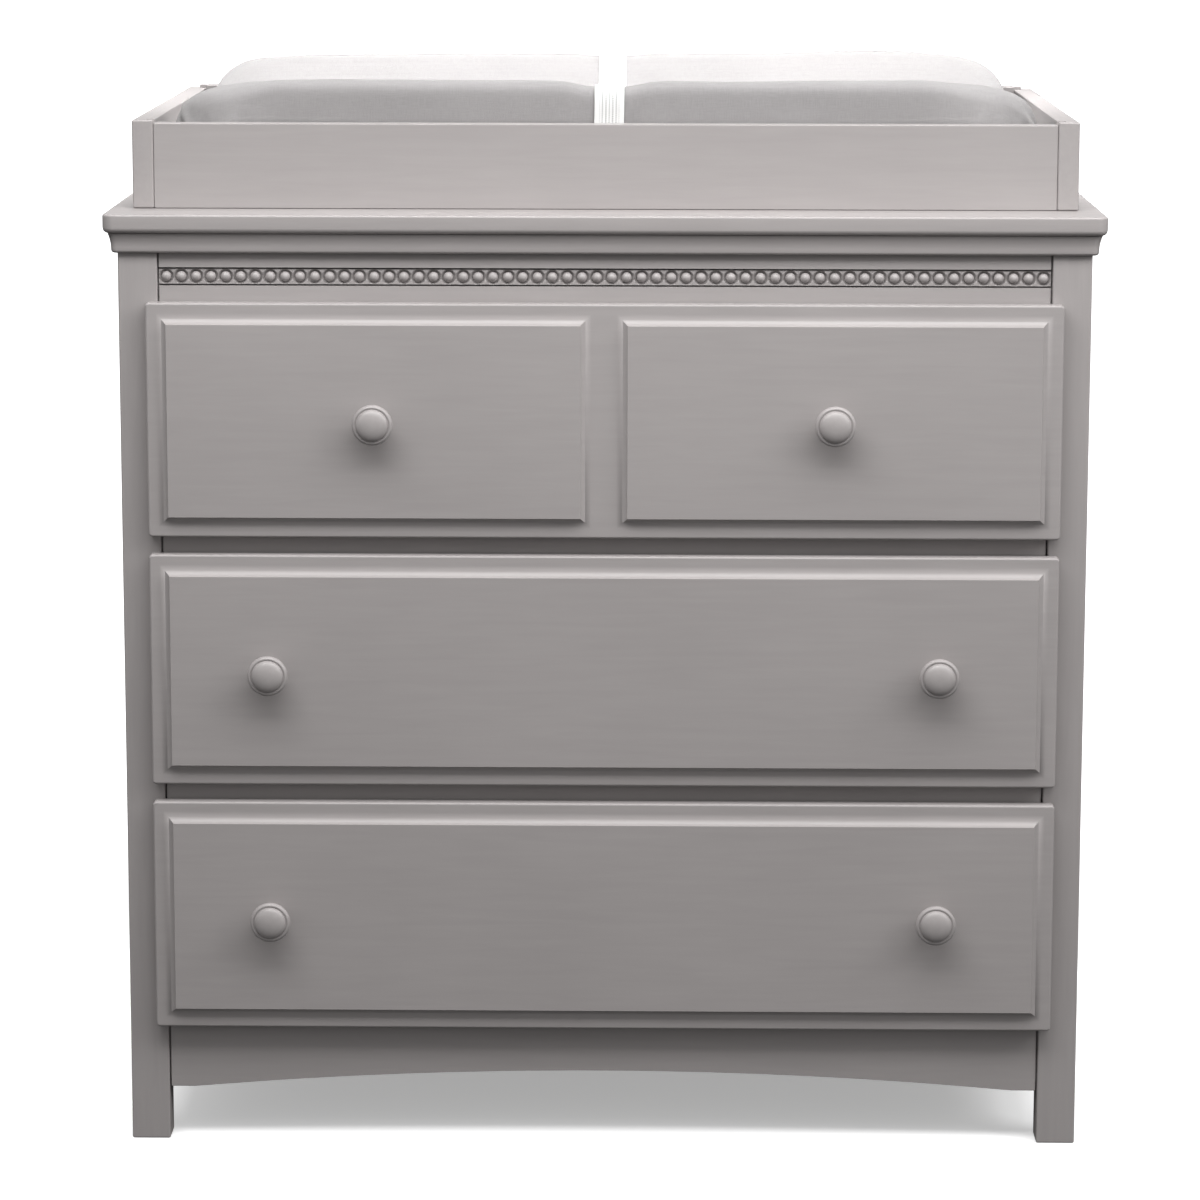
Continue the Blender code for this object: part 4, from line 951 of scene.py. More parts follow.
def stitch_row_tree():
    """Short round stitches at even steps along the edges of a mesh."""
    tree, given, out = new_tree(
        "stitch_row", "GeometryNodeTree",
        [
            ("Geometry", GEOMETRY), ("Pitch", FLOAT, 0.0032), ("Length", FLOAT, 0.0022),
            ("Radius", FLOAT, 0.0003), ("Material", MATERIAL),
        ],
        [("Geometry", GEOMETRY)],
    )
    path = result(tree, "GeometryNodeMeshToCurve", {0: given["Geometry"]})
    even = put(tree, "GeometryNodeResampleCurve", {"Curve": path, "Length": given["Pitch"]}, mode="LENGTH")
    tangent = result(tree, "GeometryNodeInputTangent")
    turn = result(tree, "FunctionNodeAlignRotationToVector", {"Vector": tangent}, axis="Z")
    thread = result(tree, "GeometryNodeMeshUVSphere", {"Segments": 6, "Rings": 4, "Radius": given["Radius"]})
    long = divided(tree, given["Length"], times(tree, given["Radius"], 2.0))
    drawn = result(tree, "GeometryNodeTransform", {"Geometry": thread, "Scale": point(tree, 1.0, 1.0, long)})
    row = result(
        tree, "GeometryNodeInstanceOnPoints", {"Points": even.outputs[0], "Instance": drawn, "Rotation": turn}
    )
    finish_tree(tree, out, row, given["Material"])
    return tree


def tree_of(name, maker, *values):
    return bpy.data.node_groups.get(name) or maker(*values)


def point_mesh(name, points, chained=False):
    """A mesh of loose points, or of one line through them."""
    form = bmesh.new()
    verts = [form.verts.new(p) for p in points]
    if chained:
        for start, end in zip(verts, verts[1:]):
            form.edges.new((start, end))
    return mesh_from(name, form)


def add_screws(name, body, points, facing, radius, height):
    heads = {
        "Facing": facing, "Head Radius": radius, "Head Height": height,
        "Head Material": screw_steel(), "Material": screw_steel(),
        # Near-black steel for the recess cross: painted shade.
        "Recess Material": material_of("screw_recess", make_steel, (0.07, 0.07, 0.07), NO_GRAIN),
    }
    mesh = grown(name, tree_of("screw_row", screw_row_tree), heads, point_mesh(name, points))
    piece = link_object(name, mesh)
    mesh.shade_smooth()
    mesh.set_sharp_from_angle(angle=math.radians(40.0))
    stand_for(piece, body, "slide_steel")
    return piece


def add_stitches(name, body, slot, paths, colour, pitch):
    """One piece of thread stitches along several paths."""
    thread = material_of(f"{name}_thread", make_thread, colour)
    form = bmesh.new()
    for number, path in enumerate(paths):
        values = {"Pitch": pitch, "Length": pitch * 0.72, "Radius": 0.00032, "Material": thread}
        row = grown(f"{name}_{number}", tree_of("stitch_row", stitch_row_tree), values,
                    point_mesh(name, path, chained=True))
        form.from_mesh(row)
    piece = add_piece(name, mesh_from(name, form), thread)
    piece.data.shade_smooth()
    stand_for(piece, body, slot)
    return piece


# ---- Stage ------------------------------------------------------------------------------

CAMERA_PLACE = (0.038, -3.6835, 1.203)
CAMERA_YAW = math.radians(-0.69)
CAMERA_PITCH = math.radians(8.88)
CAMERA_ROLL = math.radians(0.10)
CAMERA_LENS = 116.9
CAMERA_SHIFT = -0.14
FLOOR_SIZE = 90.0
GRID_SPREAD = math.radians(27.0)


def area_light(name, place, aim, size, power):
    light = bpy.data.lights.new(name, "AREA")
    light.shape = "RECTANGLE"
    light.size, light.size_y = size
    light.energy = power
    lamp = link_object(name, light)
    lamp.location = place
    lamp.rotation_euler = (Vector(aim) - Vector(place)).to_track_quat("-Z", "Y").to_euler()
    return lamp


class MakeStage(bpy.types.Operator):
    """Pale floor with a painted glow and painted shadow, soft overhead and front lights, and the camera"""

    bl_idname = "changing_table.make_stage"
    bl_label = "Stage"

    def execute(self, context):
        stage = settings().stage
        form = bmesh.new()
        bmesh.ops.create_grid(form, x_segments=8, y_segments=8, size=FLOOR_SIZE / 2)
        # The floor's glow is painted light, with a painted shadow under the dresser.
        floor = add_piece("floor", mesh_from("floor", form), material_of("floor_finish", make_floor_painted_glow))
        area_light("key", (0.0, -1.0, 1.9), (0.0, -1.0, 0.0), (2.4, 0.8), stage.key_power)
        over = area_light("over_pad", (0.0, 0.30, 2.3), (0.0, 0.13, 0.95), (1.1, 0.25), stage.pad_power)
        over.data.spread = GRID_SPREAD
        area_light("right", (2.2, -1.2, 2.0), (0.0, 0.0, 0.6), (1.2, 1.2), stage.side_power)
        self.make_world(context.scene)
        self.make_camera(context.scene)
        context.scene.view_settings.view_transform = "Standard"
        return {"FINISHED"}

    def make_world(self, scene):
        """Even white surroundings that light less than they show."""
        world = scene.world or bpy.data.worlds.new("studio")
        scene.world = world
        world.use_nodes = True
        tree = world.node_tree
        tree.nodes.clear()
        rays = put(tree, "ShaderNodeLightPath").outputs["Is Camera Ray"]
        glow = spread(tree, rays, 0.50, 1.0)
        sky = put(tree, "ShaderNodeBackground", {"Color": (1.0, 1.0, 1.0, 1.0), "Strength": glow})
        tree.links.new(sky.outputs[0], put(tree, "ShaderNodeOutputWorld").inputs["Surface"])

    def make_camera(self, scene):
        camera = bpy.data.cameras.new("camera")
        camera.lens = CAMERA_LENS
        camera.sensor_width = 36.0
        camera.shift_y = CAMERA_SHIFT
        camera.clip_end = 200.0
        holder = link_object("camera", camera)
        level = math.cos(CAMERA_PITCH)
        ahead = Vector((math.sin(CAMERA_YAW) * level, math.cos(CAMERA_YAW) * level, -math.sin(CAMERA_PITCH)))
        right = Vector((math.cos(CAMERA_YAW), -math.sin(CAMERA_YAW), 0.0))
        up = right.cross(ahead)
        rolled = right * math.cos(CAMERA_ROLL) + up * math.sin(CAMERA_ROLL)
        upright = up * math.cos(CAMERA_ROLL) - right * math.sin(CAMERA_ROLL)
        turn = Matrix((rolled, upright, -ahead)).transposed()
        holder.matrix_world = Matrix.Translation(CAMERA_PLACE) @ turn.to_4x4()
        scene.camera = holder


# ---- Cabinet ----------------------------------------------------------------------------


class MakeCabinet(bpy.types.Operator):
    """Posts, panels, rails, cornices and top of the dresser"""

    bl_idname = "changing_table.make_cabinet"
    bl_label = "Cabinet"

    def execute(self, context):
        easing = settings().paint.edge_round
        for where in ("front", "rear"):
            for side, _ in SIDES:
                refine(f"{where}_{side}_post", "cabinet", "grey_paint", paint_along("z"))
        for side, _ in SIDES:
            refine(f"{side}_side_panel", "cabinet", "grey_paint", paint_along("z"), easing)
            refine(f"{side}_cornice", "cabinet", "grey_paint", paint_along("y"))
        for rail in ("frieze", "upper_divider", "lower_divider", "rear_lower", "rear_upper"):
            refine(f"{rail}_rail", "cabinet", "grey_paint", paint_along("x"))
        refine("arched_apron", "cabinet", "grey_paint", paint_along("x"), easing)
        for board in ("front_cornice", "top_panel"):
            refine(board, "cabinet", "grey_paint", paint_along("x"))
        refine("back_panel", "cabinet", "back_board", material_of("hardboard", make_back_board), 0.0004)
        return {"FINISHED"}


STRIP_FACE_SETBACK = 0.0030


class MakeBeadStrip(bpy.types.Operator):
    """Beaded strip let into the frieze"""

    bl_idname = "changing_table.make_bead_strip"
    bl_label = "Bead Strip"

    def execute(self, context):
        beads = settings().beads
        near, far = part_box("bead_strip")
        face = near.y + STRIP_FACE_SETBACK
        height = far.z - near.z
        values = {
            "Length": far.x - near.x, "Height": height, "Thickness": far.y - face, "Face": face,
            "Middle": (near.z + far.z) / 2, "Count": beads.count, "Bead Radius": beads.radius,
            "Proud": beads.proud, "Socket Radius": (far.x - near.x) / beads.count / 2 * 0.99,
            "Socket Depth": beads.socket_depth, "Material": paint_along("x"),
        }
        mesh = grown("bead_strip_finished", beaded_strip_tree(), values)
        piece = link_object("bead_strip_finished", mesh)
        mesh.shade_smooth()
        mesh.set_sharp_from_angle(angle=math.radians(50.0))
        stand_for(piece, "cabinet", "grey_paint", "bead_strip")
        return {"FINISHED"}


# ---- Drawers ----------------------------------------------------------------------------


def is_rim_corner(edge, near, far):
    """Whether an edge is one of the four upright-to-the-face corners of a front's rim."""
    start, end = (vert.co for vert in edge.verts)
    straight = abs(start.x - end.x) < 1e-5 and abs(start.z - end.z) < 1e-5
    at_side = min(abs(start.x - near.x), abs(start.x - far.x)) < 1e-4
    return straight and at_side and min(abs(start.z - near.z), abs(start.z - far.z)) < 1e-4


class MakeDrawerFronts(bpy.types.Operator):
    """Lipped fronts with raised fields inside mitred coves"""

    bl_idname = "changing_table.make_drawer_fronts"
    bl_label = "Drawer Fronts"

    def execute(self, context):
        for drawer in DRAWERS:
            self.make_front(context, drawer, 2 if drawer == "top" else 1)
        return {"FINISHED"}

    def make_front(self, context, drawer, fields):
        front = settings().front
        near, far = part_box(f"{drawer}_drawer_front")
        values = {
            "Width": far.x - near.x, "Foot": near.z, "Head": far.z, "Back": far.y,
            "Lip": near.y + front.cove_rise, "Field": near.y, "Lip Width": front.lip_width,
            "Stile": front.stile_width, "Cove Width": front.cove_width, "Cove End": front.cove_end,
            "Rows": 24, "Material": paint_along("x"),
        }
        tree = tree_of(f"drawer_front_{fields}", drawer_front_tree, fields)
        name = f"{drawer}_drawer_front_finished"
        mesh = grown(name, tree, values)
        form = bmesh.new()
        form.from_mesh(mesh)
        bmesh.ops.recalc_face_normals(form, faces=form.faces)
        bmesh.ops.dissolve_limit(form, angle_limit=math.radians(0.2), verts=form.verts, edges=form.edges)
        corners = [edge for edge in form.edges if is_rim_corner(edge, near, far)]
        bmesh.ops.bevel(
            form, geom=corners, offset=front.corner_round, segments=5, profile=0.5, affect="EDGES"
        )
        piece = add_piece(name, mesh_from(name, form), paint_along("x"))
        add_bevel(piece, front.edge_round, 85.0, 5)
        settle(piece)
        add_bevel(piece, 0.0005, 34.0, 2)
        settle(piece)
        smooth_hard(piece, 40.0)
        stand_for(piece, f"{drawer}_drawer", "grey_paint", f"{drawer}_drawer_front")


def knob_profile(radius, projection):
    """(radius, height over the field) from the middle of the face down to the stem's foot."""
    knob = settings().knob
    dome = radius * knob.dome_share
    shoulder = projection - knob.dome_rise
    groove = 0.0007
    points = [(0.0, projection)]
    for i in range(1, 17):
        angle = math.radians(90 * i / 16)
        points.append((dome * math.sin(angle) ** 0.94, shoulder + knob.dome_rise * math.cos(angle)))
    points += [(dome + 0.0001, shoulder - groove * 0.6), (dome + groove * 0.5, shoulder - groove)]
    rim = radius - knob.rim_round
    for i in range(17):
        angle = math.radians(76 - 160 * i / 16)
        out, up = knob.rim_round * math.cos(angle), knob.rim_round * math.sin(angle)
        points.append((rim + out, shoulder - knob.rim_round + up))
    reach, under = points[-1]
    neck = knob.stem_radius * 0.5
    for i in range(1, 13):
        share = i / 12
        flare = (reach - knob.stem_radius) * (1 - share) ** 2.2
        points.append((knob.stem_radius + flare, under - (under - neck) * share))
    points += [(knob.stem_radius, 0.0016), (knob.stem_radius + 0.0006, 0.0004), (0.0, 0.0004)]
    return points


class MakeKnobs(bpy.types.Operator):
    """Turned mushroom knobs, two on each drawer"""

    bl_idname = "changing_table.make_knobs"
    bl_label = "Knobs"

    def execute(self, context):
        for drawer in DRAWERS:
            field = low(f"{drawer}_drawer_front").y
            for side, _ in SIDES:
                self.make_knob(drawer, side, field)
        return {"FINISHED"}

    def make_knob(self, drawer, side, field):
        node = f"{drawer}_drawer_knob_{side}"
        near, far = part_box(node)
        centre = Vector(((near.x + far.x) / 2, field, (near.z + far.z) / 2))
        profile = knob_profile((far.z - near.z) / 2, field - near.y)
        form = bmesh.new()
        verts = [form.verts.new((radius, 0.0, height)) for radius, height in profile]
        for start, end in zip(verts, verts[1:]):
            form.edges.new((start, end))
        geometry = [*form.verts, *form.edges]
        bmesh.ops.spin(
            form, geom=geometry, cent=(0, 0, 0), axis=(0, 0, 1), angle=2 * math.pi, steps=56, use_merge=True
        )
        bmesh.ops.remove_doubles(form, verts=form.verts, dist=0.000005)
        bmesh.ops.recalc_face_normals(form, faces=form.faces)
        turn = Matrix.Translation(centre) @ Matrix.Rotation(math.pi / 2, 4, "X")
        bmesh.ops.transform(form, matrix=turn, verts=form.verts)
        piece = add_piece(f"{node}_finished", mesh_from(node, form), paint_along("y"))
        smooth_hard(piece, 50.0)
        stand_for(piece, f"{drawer}_drawer", "grey_paint", node)


class MakeDrawerBoxes(bpy.types.Operator):
    """Sides, backs and bottoms of the drawer boxes"""

    bl_idname = "changing_table.make_drawer_boxes"
    bl_label = "Drawer Boxes"

    def execute(self, context):
        for drawer in DRAWERS:
            body = f"{drawer}_drawer"
            for side, _ in SIDES:
                refine(f"{body}_{side}_side", body, "drawer_wood", wood_along("y"), 0.0008)
            refine(f"{body}_back", body, "drawer_wood", wood_along("x"), 0.0008)
            refine(f"{body}_bottom", body, "drawer_wood", wood_along("x"))
        return {"FINISHED"}


SLIDE_SHEET = 0.0012
SLIDE_SCREW_SHARES = (0.08, 0.36, 0.64, 0.92)
SLIDE_SCREW = (0.0034, 0.0013)
BACK_SCREW = (0.0032, 0.0011)
BACK_SCREWS = 9
BACK_SCREW_MARGIN = 0.045


class MakeSlides(bpy.types.Operator):
    """Steel slide members, the screws in them and the screws of the back panel"""

    bl_idname = "changing_table.make_slides"
    bl_label = "Slides and Screws"

    def execute(self, context):
        for drawer in DRAWERS:
            for side, sign in SIDES:
                fixed, moving = f"{drawer}_cabinet_slide_{side}", f"{drawer}_drawer_slide_{side}"
                refine(fixed, "cabinet", "slide_steel", steel(), 0.0002)
                refine(moving, f"{drawer}_drawer", "slide_steel", steel(), 0.0002)
                self.add_slide_screws(fixed, "cabinet", sign, -1)
                self.add_slide_screws(moving, f"{drawer}_drawer", sign, 1)
        self.add_back_screws()
        return {"FINISHED"}

    def add_slide_screws(self, node, body, side, facing):
        """Four screws along the web; facing 1 looks away from the drawer box, -1 towards it."""
        near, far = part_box(node)
        web = (low, high)[side * facing < 0](node).x
        face = web + side * facing * SLIDE_SHEET
        middle = (near.z + far.z) / 2
        length = far.y - near.y
        points = [(face, near.y + length * share, middle) for share in SLIDE_SCREW_SHARES]
        add_screws(f"{node}_screws", body, points, (side * facing, 0.0, 0.0), *SLIDE_SCREW)

    def add_back_screws(self):
        far = high("back_panel")
        points = []
        for rail in ("rear_upper_rail", "rear_lower_rail"):
            level = (low(rail).z + high(rail).z) / 2
            span = high(rail).x - low(rail).x - 2 * BACK_SCREW_MARGIN
            for i in range(BACK_SCREWS):
                points.append((span * (i / (BACK_SCREWS - 1) - 0.5), far.y, level))
        add_screws("back_panel_screws", "cabinet", points, (0.0, 1.0, 0.0), *BACK_SCREW)


# ---- Tray -------------------------------------------------------------------------------


class MakeTray(bpy.types.Operator):
    """Four boards of the changing tray"""

    bl_idname = "changing_table.make_tray"
    bl_label = "Tray"

    def execute(self, context):
        for board in ("front", "back"):
            refine(f"tray_{board}_board", "cabinet", "grey_paint", paint_along("x"))
        for side, _ in SIDES:
            refine(f"tray_{side}_board", "cabinet", "grey_paint", paint_along("y"))
        return {"FINISHED"}


# ---- Pad --------------------------------------------------------------------------------

PAD_NEAR, PAD_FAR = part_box("changing_pad")
PAD_DEPTH = PAD_FAR.y - PAD_NEAR.y
PAD_HALF_LENGTH = (PAD_FAR.x - PAD_NEAR.x) / 2
CREST_INSET = 0.022
SLOPE_WIDTH = 0.133
SIDE_POWER = 4.0
END_ROUND = 0.120
END_POWER = 5.0
PLAN_CORNER = 0.045
STRAP_MIDDLE = 0.0035
EDGE_REACH = 0.060
EDGE_INNER = 0.034
EDGE_WALL = 0.0014
EDGE_MIDDLE = 0.070
EDGE_POWER = 7
CREST_SETTLING = 0.0028
BVH_REACH = 0.03
VOXEL = 0.0065
COVER_SLACK = 0.0035
WALL_ROOM = 0.0008
PRESS_FRONT = 0.0055
PRESS_REAR = 0.0016
PRESS_FACE = 0.0024
PRESS_WIDTH = 0.016
WANDER = 0.0011
RIPPLE = 0.00035
RESTING_BAND = 0.003
FILLING_FRAMES = 20
FILLING = {
    "quality": 4, "mass": 0.25, "use_pressure": True, "uniform_pressure_force": 4.0,
    "tension_stiffness": 12.0, "compression_stiffness": 8.0, "bending_stiffness": 0.4,
    "vertex_group_mass": "resting",
}


def roll_height(reach, height):
    """Height at a distance inside the pad's long edge, where its side rolls up to the crest."""
    share = min(max(1 - reach / CREST_INSET, 0.0), 1.0)
    return height * (1 - share**SIDE_POWER) ** (1 / SIDE_POWER)


def pad_height(depth):
    """Height of the pad's upper face at a distance behind its front edge, at mid length."""
    pad = settings().pad
    from_back = PAD_DEPTH - depth
    if depth <= CREST_INSET:
        return roll_height(depth, pad.front_crest)
    if from_back <= CREST_INSET:
        return roll_height(from_back, pad.rear_crest)
    height = pad.trough
    for reach, crest in ((depth, pad.front_crest), (from_back, pad.rear_crest)):
        share = (reach - CREST_INSET) / SLOPE_WIDTH
        if share < 1:
            height = pad.trough + (crest - pad.trough) * (0.5 + 0.5 * math.cos(math.pi * share))
    return height


def end_share(x):
    """How much of the full height is left towards the pad's two rounded ends."""
    share = min((abs(x) - (PAD_HALF_LENGTH - END_ROUND)) / END_ROUND, 1.0)
    if share <= 0:
        return 1.0
    return (1 - share**END_POWER) ** (1 / END_POWER)


def corner_inset(x):
    """How far the long edges move in near the ends, where the plan's corners are round."""
    past = abs(x) - (PAD_HALF_LENGTH - PLAN_CORNER)
    if past <= 0:
        return 0.0
    past = min(past, PLAN_CORNER)
    return PLAN_CORNER - math.sqrt(PLAN_CORNER**2 - past**2)


def section_line():
    """The pad's upper contour at mid length as (distance along it, depth, height)."""
    steps = 160
    line, length, before = [], 0.0, None
    for i in range(steps + 1):
        depth = PAD_DEPTH * (0.5 - 0.5 * math.cos(math.pi * i / steps))
        here = (depth, pad_height(depth))
        if before:
            length += math.dist(before, here)
        line.append((length, *here))
        before = here
    return line


def pad_cage(slack):
    """The foam's form, drawn in by the slack that the cover takes up when it fills."""
    form = bmesh.new()
    start = PAD_HALF_LENGTH - END_ROUND
    turned = [math.sin(math.radians(90 * i / 14)) for i in range(14)] + [0.9995]
    half = [start + END_ROUND * share for share in turned]
    stations = [-x for x in reversed(half)] + [start * (i / 8 - 1) for i in range(1, 16)] + half
    depths = [PAD_DEPTH * (0.5 - 0.5 * math.cos(math.pi * i / 60)) for i in range(61)]
    rings = []
    for x in stations:
        narrow = 1 - 2 * corner_inset(x) / PAD_DEPTH
        middle = PAD_NEAR.y + PAD_DEPTH / 2
        places = [middle + (depth - PAD_DEPTH / 2) * narrow for depth in depths]
        upper = [
            form.verts.new((x, y, PAD_NEAR.z + max(pad_height(depth) * end_share(x), 0.004)))
            for y, depth in zip(places, depths)
        ]
        foot = [form.verts.new((x, y, PAD_NEAR.z)) for y in (places[0], places[-1])]
        rings.append([foot[0], *upper, foot[1]])
    skin(form, rings)
    form.faces.new(rings[0])
    form.faces.new(rings[-1])
    bmesh.ops.recalc_face_normals(form, faces=form.faces)
    form.normal_update()
    middle = (PAD_NEAR + PAD_FAR) / 2
    for vert in form.verts:
        vert.co.x -= slack * (vert.co.x - middle.x) / PAD_HALF_LENGTH
        vert.co.y -= slack * (vert.co.y - middle.y) / (PAD_DEPTH / 2)
        vert.co.z -= slack * (vert.co.z - PAD_NEAR.z) / 0.1
    return mesh_from("pad_cage", form)


def fill_cover(pad, limit):
    """Swells the cover with a short cloth simulation; no point moves further than the limit."""
    before = [vert.co.copy() for vert in pad.data.vertices]
    pin = pad.vertex_groups.new(name="resting")
    resting = [v.index for v in pad.data.vertices if v.co.z < PAD_NEAR.z + RESTING_BAND]
    pin.add(resting, 1.0, "REPLACE")
    cloth = pad.modifiers.new("filling", "CLOTH")
    cloth.settings.effector_weights.gravity = 0.0
    for name, value in FILLING.items():
        setattr(cloth.settings, name, value)
    cloth.point_cache.frame_start = 1
    cloth.point_cache.frame_end = FILLING_FRAMES
    scene = bpy.context.scene
    for number in range(1, FILLING_FRAMES + 1):
        scene.frame_set(number)
    settle(pad)
    pad.vertex_groups.clear()
    scene.frame_set(1)
    for vert, start in zip(pad.data.vertices, before):
        moved = vert.co - start
        if moved.length > limit:
            vert.co = start + moved.normalized() * limit


def soft_step(value, start, end):
    share = min(max((value - start) / (end - start), 0.0), 1.0)
    return share * share * (3 - 2 * share)


def hump(value, centre, width):
    return math.exp(-(((value - centre) / width) ** 2))


def press_and_tuck(pad_object):
    """What the strap, the tray and the maker's hands do to the filled cover."""
    pad = settings().pad
    mesh = pad_object.data
    walls = (
        high("tray_left_board").x + WALL_ROOM, low("tray_right_board").x - WALL_ROOM,
        high("tray_front_board").y + WALL_ROOM, low("tray_back_board").y - WALL_ROOM,
    )
    half_strap = settings().strap.width / 2
    middle_y = PAD_NEAR.y + PAD_DEPTH / 2
    for vert, normal in [(v, v.normal.copy()) for v in mesh.vertices]:
        x, y, z = vert.co
        level = z - PAD_NEAR.z
        depth = y - PAD_NEAR.y
        straight = soft_step(abs(x), PAD_HALF_LENGTH - 0.03, PAD_HALF_LENGTH - 0.12)
        fall = end_share(x)
        reach = min(depth, PAD_DEPTH - depth)
        if reach < EDGE_REACH:
            inward = 1 if depth < PAD_DEPTH / 2 else -1
            crest = (pad.front_crest if inward > 0 else pad.rear_crest) - CREST_SETTLING
            new_reach, new_level = squared_edge(reach, level / fall, crest)
            y += inward * (new_reach - reach) * straight
            z += (new_level * fall - level) * straight
        aside = max(abs(x - STRAP_MIDDLE) - half_strap - 0.002, 0.0)
        front = soft_step(depth, 0.19, 0.06)
        rear = soft_step(depth, 0.215, 0.34)
        risen = soft_step(level, 0.02, 0.08)
        sunk = PRESS_FRONT * front * hump(aside, 0.0, 0.020)
        sunk += PRESS_REAR * rear * hump(aside, 0.0, PRESS_WIDTH)
        z -= sunk * risen
        face = soft_step(depth, 0.05, 0.0) * soft_step(level, 0.03, 0.07)
        y += PRESS_FACE * front * hump(aside, 0.0, PRESS_WIDTH) * face
        crown = soft_step(level, 0.05, 0.10)
        z += crown * rear * (0.0036 * hump(x, 0.269, 0.085) - 0.0015 * hump(x, -0.30, 0.10))
        z -= crown * front * 0.0022 * hump(abs(x), 0.345, 0.035)
        wander = noise.noise(Vector((x * 9.0, y * 9.0, z * 16.0)))
        ripple = noise.noise(Vector((x * 34.0 + 5.0, y * 20.0, z * 46.0)))
        lift = soft_step(level, 0.004, 0.03)
        vert.co = Vector((x, y, z)) + normal * lift * (WANDER * wander + RIPPLE * ripple)
        vert.co += normal * lift * tuck(x, y - middle_y, level, pad.tuck_depth)
        vert.co.x = min(max(vert.co.x, walls[0]), walls[1])
        vert.co.y = min(max(vert.co.y, walls[2]), walls[3])
        vert.co.z = max(vert.co.z, PAD_NEAR.z + 0.0002)
        near_buckle = soft_step(max(abs(x) - 0.020, 0.0), 0.018, 0.0)
        near_buckle *= soft_step(abs(y - middle_y) - 0.032, 0.02, 0.0)
        ceiling = PAD_NEAR.z + pad.trough + 0.0002
        if near_buckle and vert.co.z > ceiling:
            vert.co.z += (ceiling - vert.co.z) * near_buckle


def squared_edge(reach, level, crest):
    """Where a point near a long edge goes once the tight cover stands square round a small corner."""
    across = max(EDGE_INNER - reach, 0.0) / (EDGE_INNER - EDGE_WALL)
    up = max(level - EDGE_MIDDLE, 0.0) / (crest - EDGE_MIDDLE)
    size = (across**EDGE_POWER + up**EDGE_POWER) ** (1 / EDGE_POWER)
    if size < 0.5:
        return reach, level
    weight = soft_step(level, 0.02, 0.06) * soft_step(reach, EDGE_REACH, EDGE_INNER)
    wanted_reach = EDGE_INNER - (EDGE_INNER - EDGE_WALL) * across / size if across else reach
    wanted_level = EDGE_MIDDLE + (crest - EDGE_MIDDLE) * up / size if up else level
    return reach + (wanted_reach - reach) * weight, level + (wanted_level - level) * weight


def tuck(x, from_middle, level, depth):
    """Folds where the cover is gathered round each upright corner."""
    towards_end = abs(x) - (PAD_HALF_LENGTH - 0.085)
    towards_edge = abs(from_middle) - (PAD_DEPTH / 2 - 0.06)
    if towards_end <= 0 or towards_edge <= 0:
        return 0.0
    round_corner = math.atan2(towards_edge + 0.005, towards_end + 0.005)
    lean = 0.25 * math.sin(level * 60.0 + x * 20.0)
    fold = hump(round_corner, 0.62 + lean, 0.085) - 0.75 * hump(round_corner, 0.43 + lean, 0.075)
    fold += 0.7 * hump(round_corner, 0.98 - lean, 0.075) - 0.55 * hump(round_corner, 0.82, 0.06)
    fold += 0.45 * hump(round_corner, 1.20, 0.06)
    fade = soft_step(level, 0.100, 0.055) * soft_step(min(towards_end, towards_edge), 0.0, 0.03)
    return depth * fold * fade


def add_thread_map(mesh):
    """Lays the cover's threads over the pad: across is along its length, up follows its section."""
    line = section_line()
    layer = mesh.uv_layers.new(name="cover_threads")
    spots = []
    for vert in mesh.vertices:
        x, y, z = vert.co
        depth = y - PAD_NEAR.y
        height = (z - PAD_NEAR.z) / max(end_share(x), 0.25)
        share = math.acos(1 - 2 * min(max(depth / PAD_DEPTH, 0), 1)) / math.pi
        middle = min(max(int(len(line) * share), 0), len(line) - 1)
        nearby = line[max(middle - 14, 0):middle + 15]
        along = min(nearby, key=lambda row: (row[1] - depth) ** 2 + (row[2] - height) ** 2)
        end_fall = max(abs(x) - (PAD_HALF_LENGTH - 0.03), 0.0) / 0.03
        across = x + math.copysign(end_fall * max(0.1 - (z - PAD_NEAR.z), 0.0), x)
        rest = (depth - along[1]) * 0.5 + (height - along[2]) * 0.5
        spots.append((across, along[0] + rest))
    for loop in mesh.loops:
        layer.data[loop.index].uv = spots[loop.vertex_index]


class MakePad(bpy.types.Operator):
    """Contoured changing pad in its cotton cover"""

    bl_idname = "changing_table.make_pad"
    bl_label = "Pad"

    def execute(self, context):
        cover = settings().pad
        pad = add_piece("pad_in_cover", pad_cage(COVER_SLACK), material_of("cotton_cover", make_cover))
        remesh = pad.modifiers.new("even_faces", "REMESH")
        remesh.mode = "VOXEL"
        remesh.voxel_size = VOXEL
        settle(pad)
        fill_cover(pad, cover.swell)
        smooth = pad.modifiers.new("relax", "SMOOTH")
        smooth.factor = 0.5
        smooth.iterations = 1
        subdivide = pad.modifiers.new("finer", "SUBSURF")
        subdivide.levels = subdivide.render_levels = 1
        settle(pad)
        press_and_tuck(pad)
        pad.data.shade_smooth()
        add_thread_map(pad.data)
        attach(pad, "pad")
        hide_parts("changing_pad")
        return {"FINISHED"}


# ---- Strap and buckle -------------------------------------------------------------------

STRAP_LIFT = 0.0005


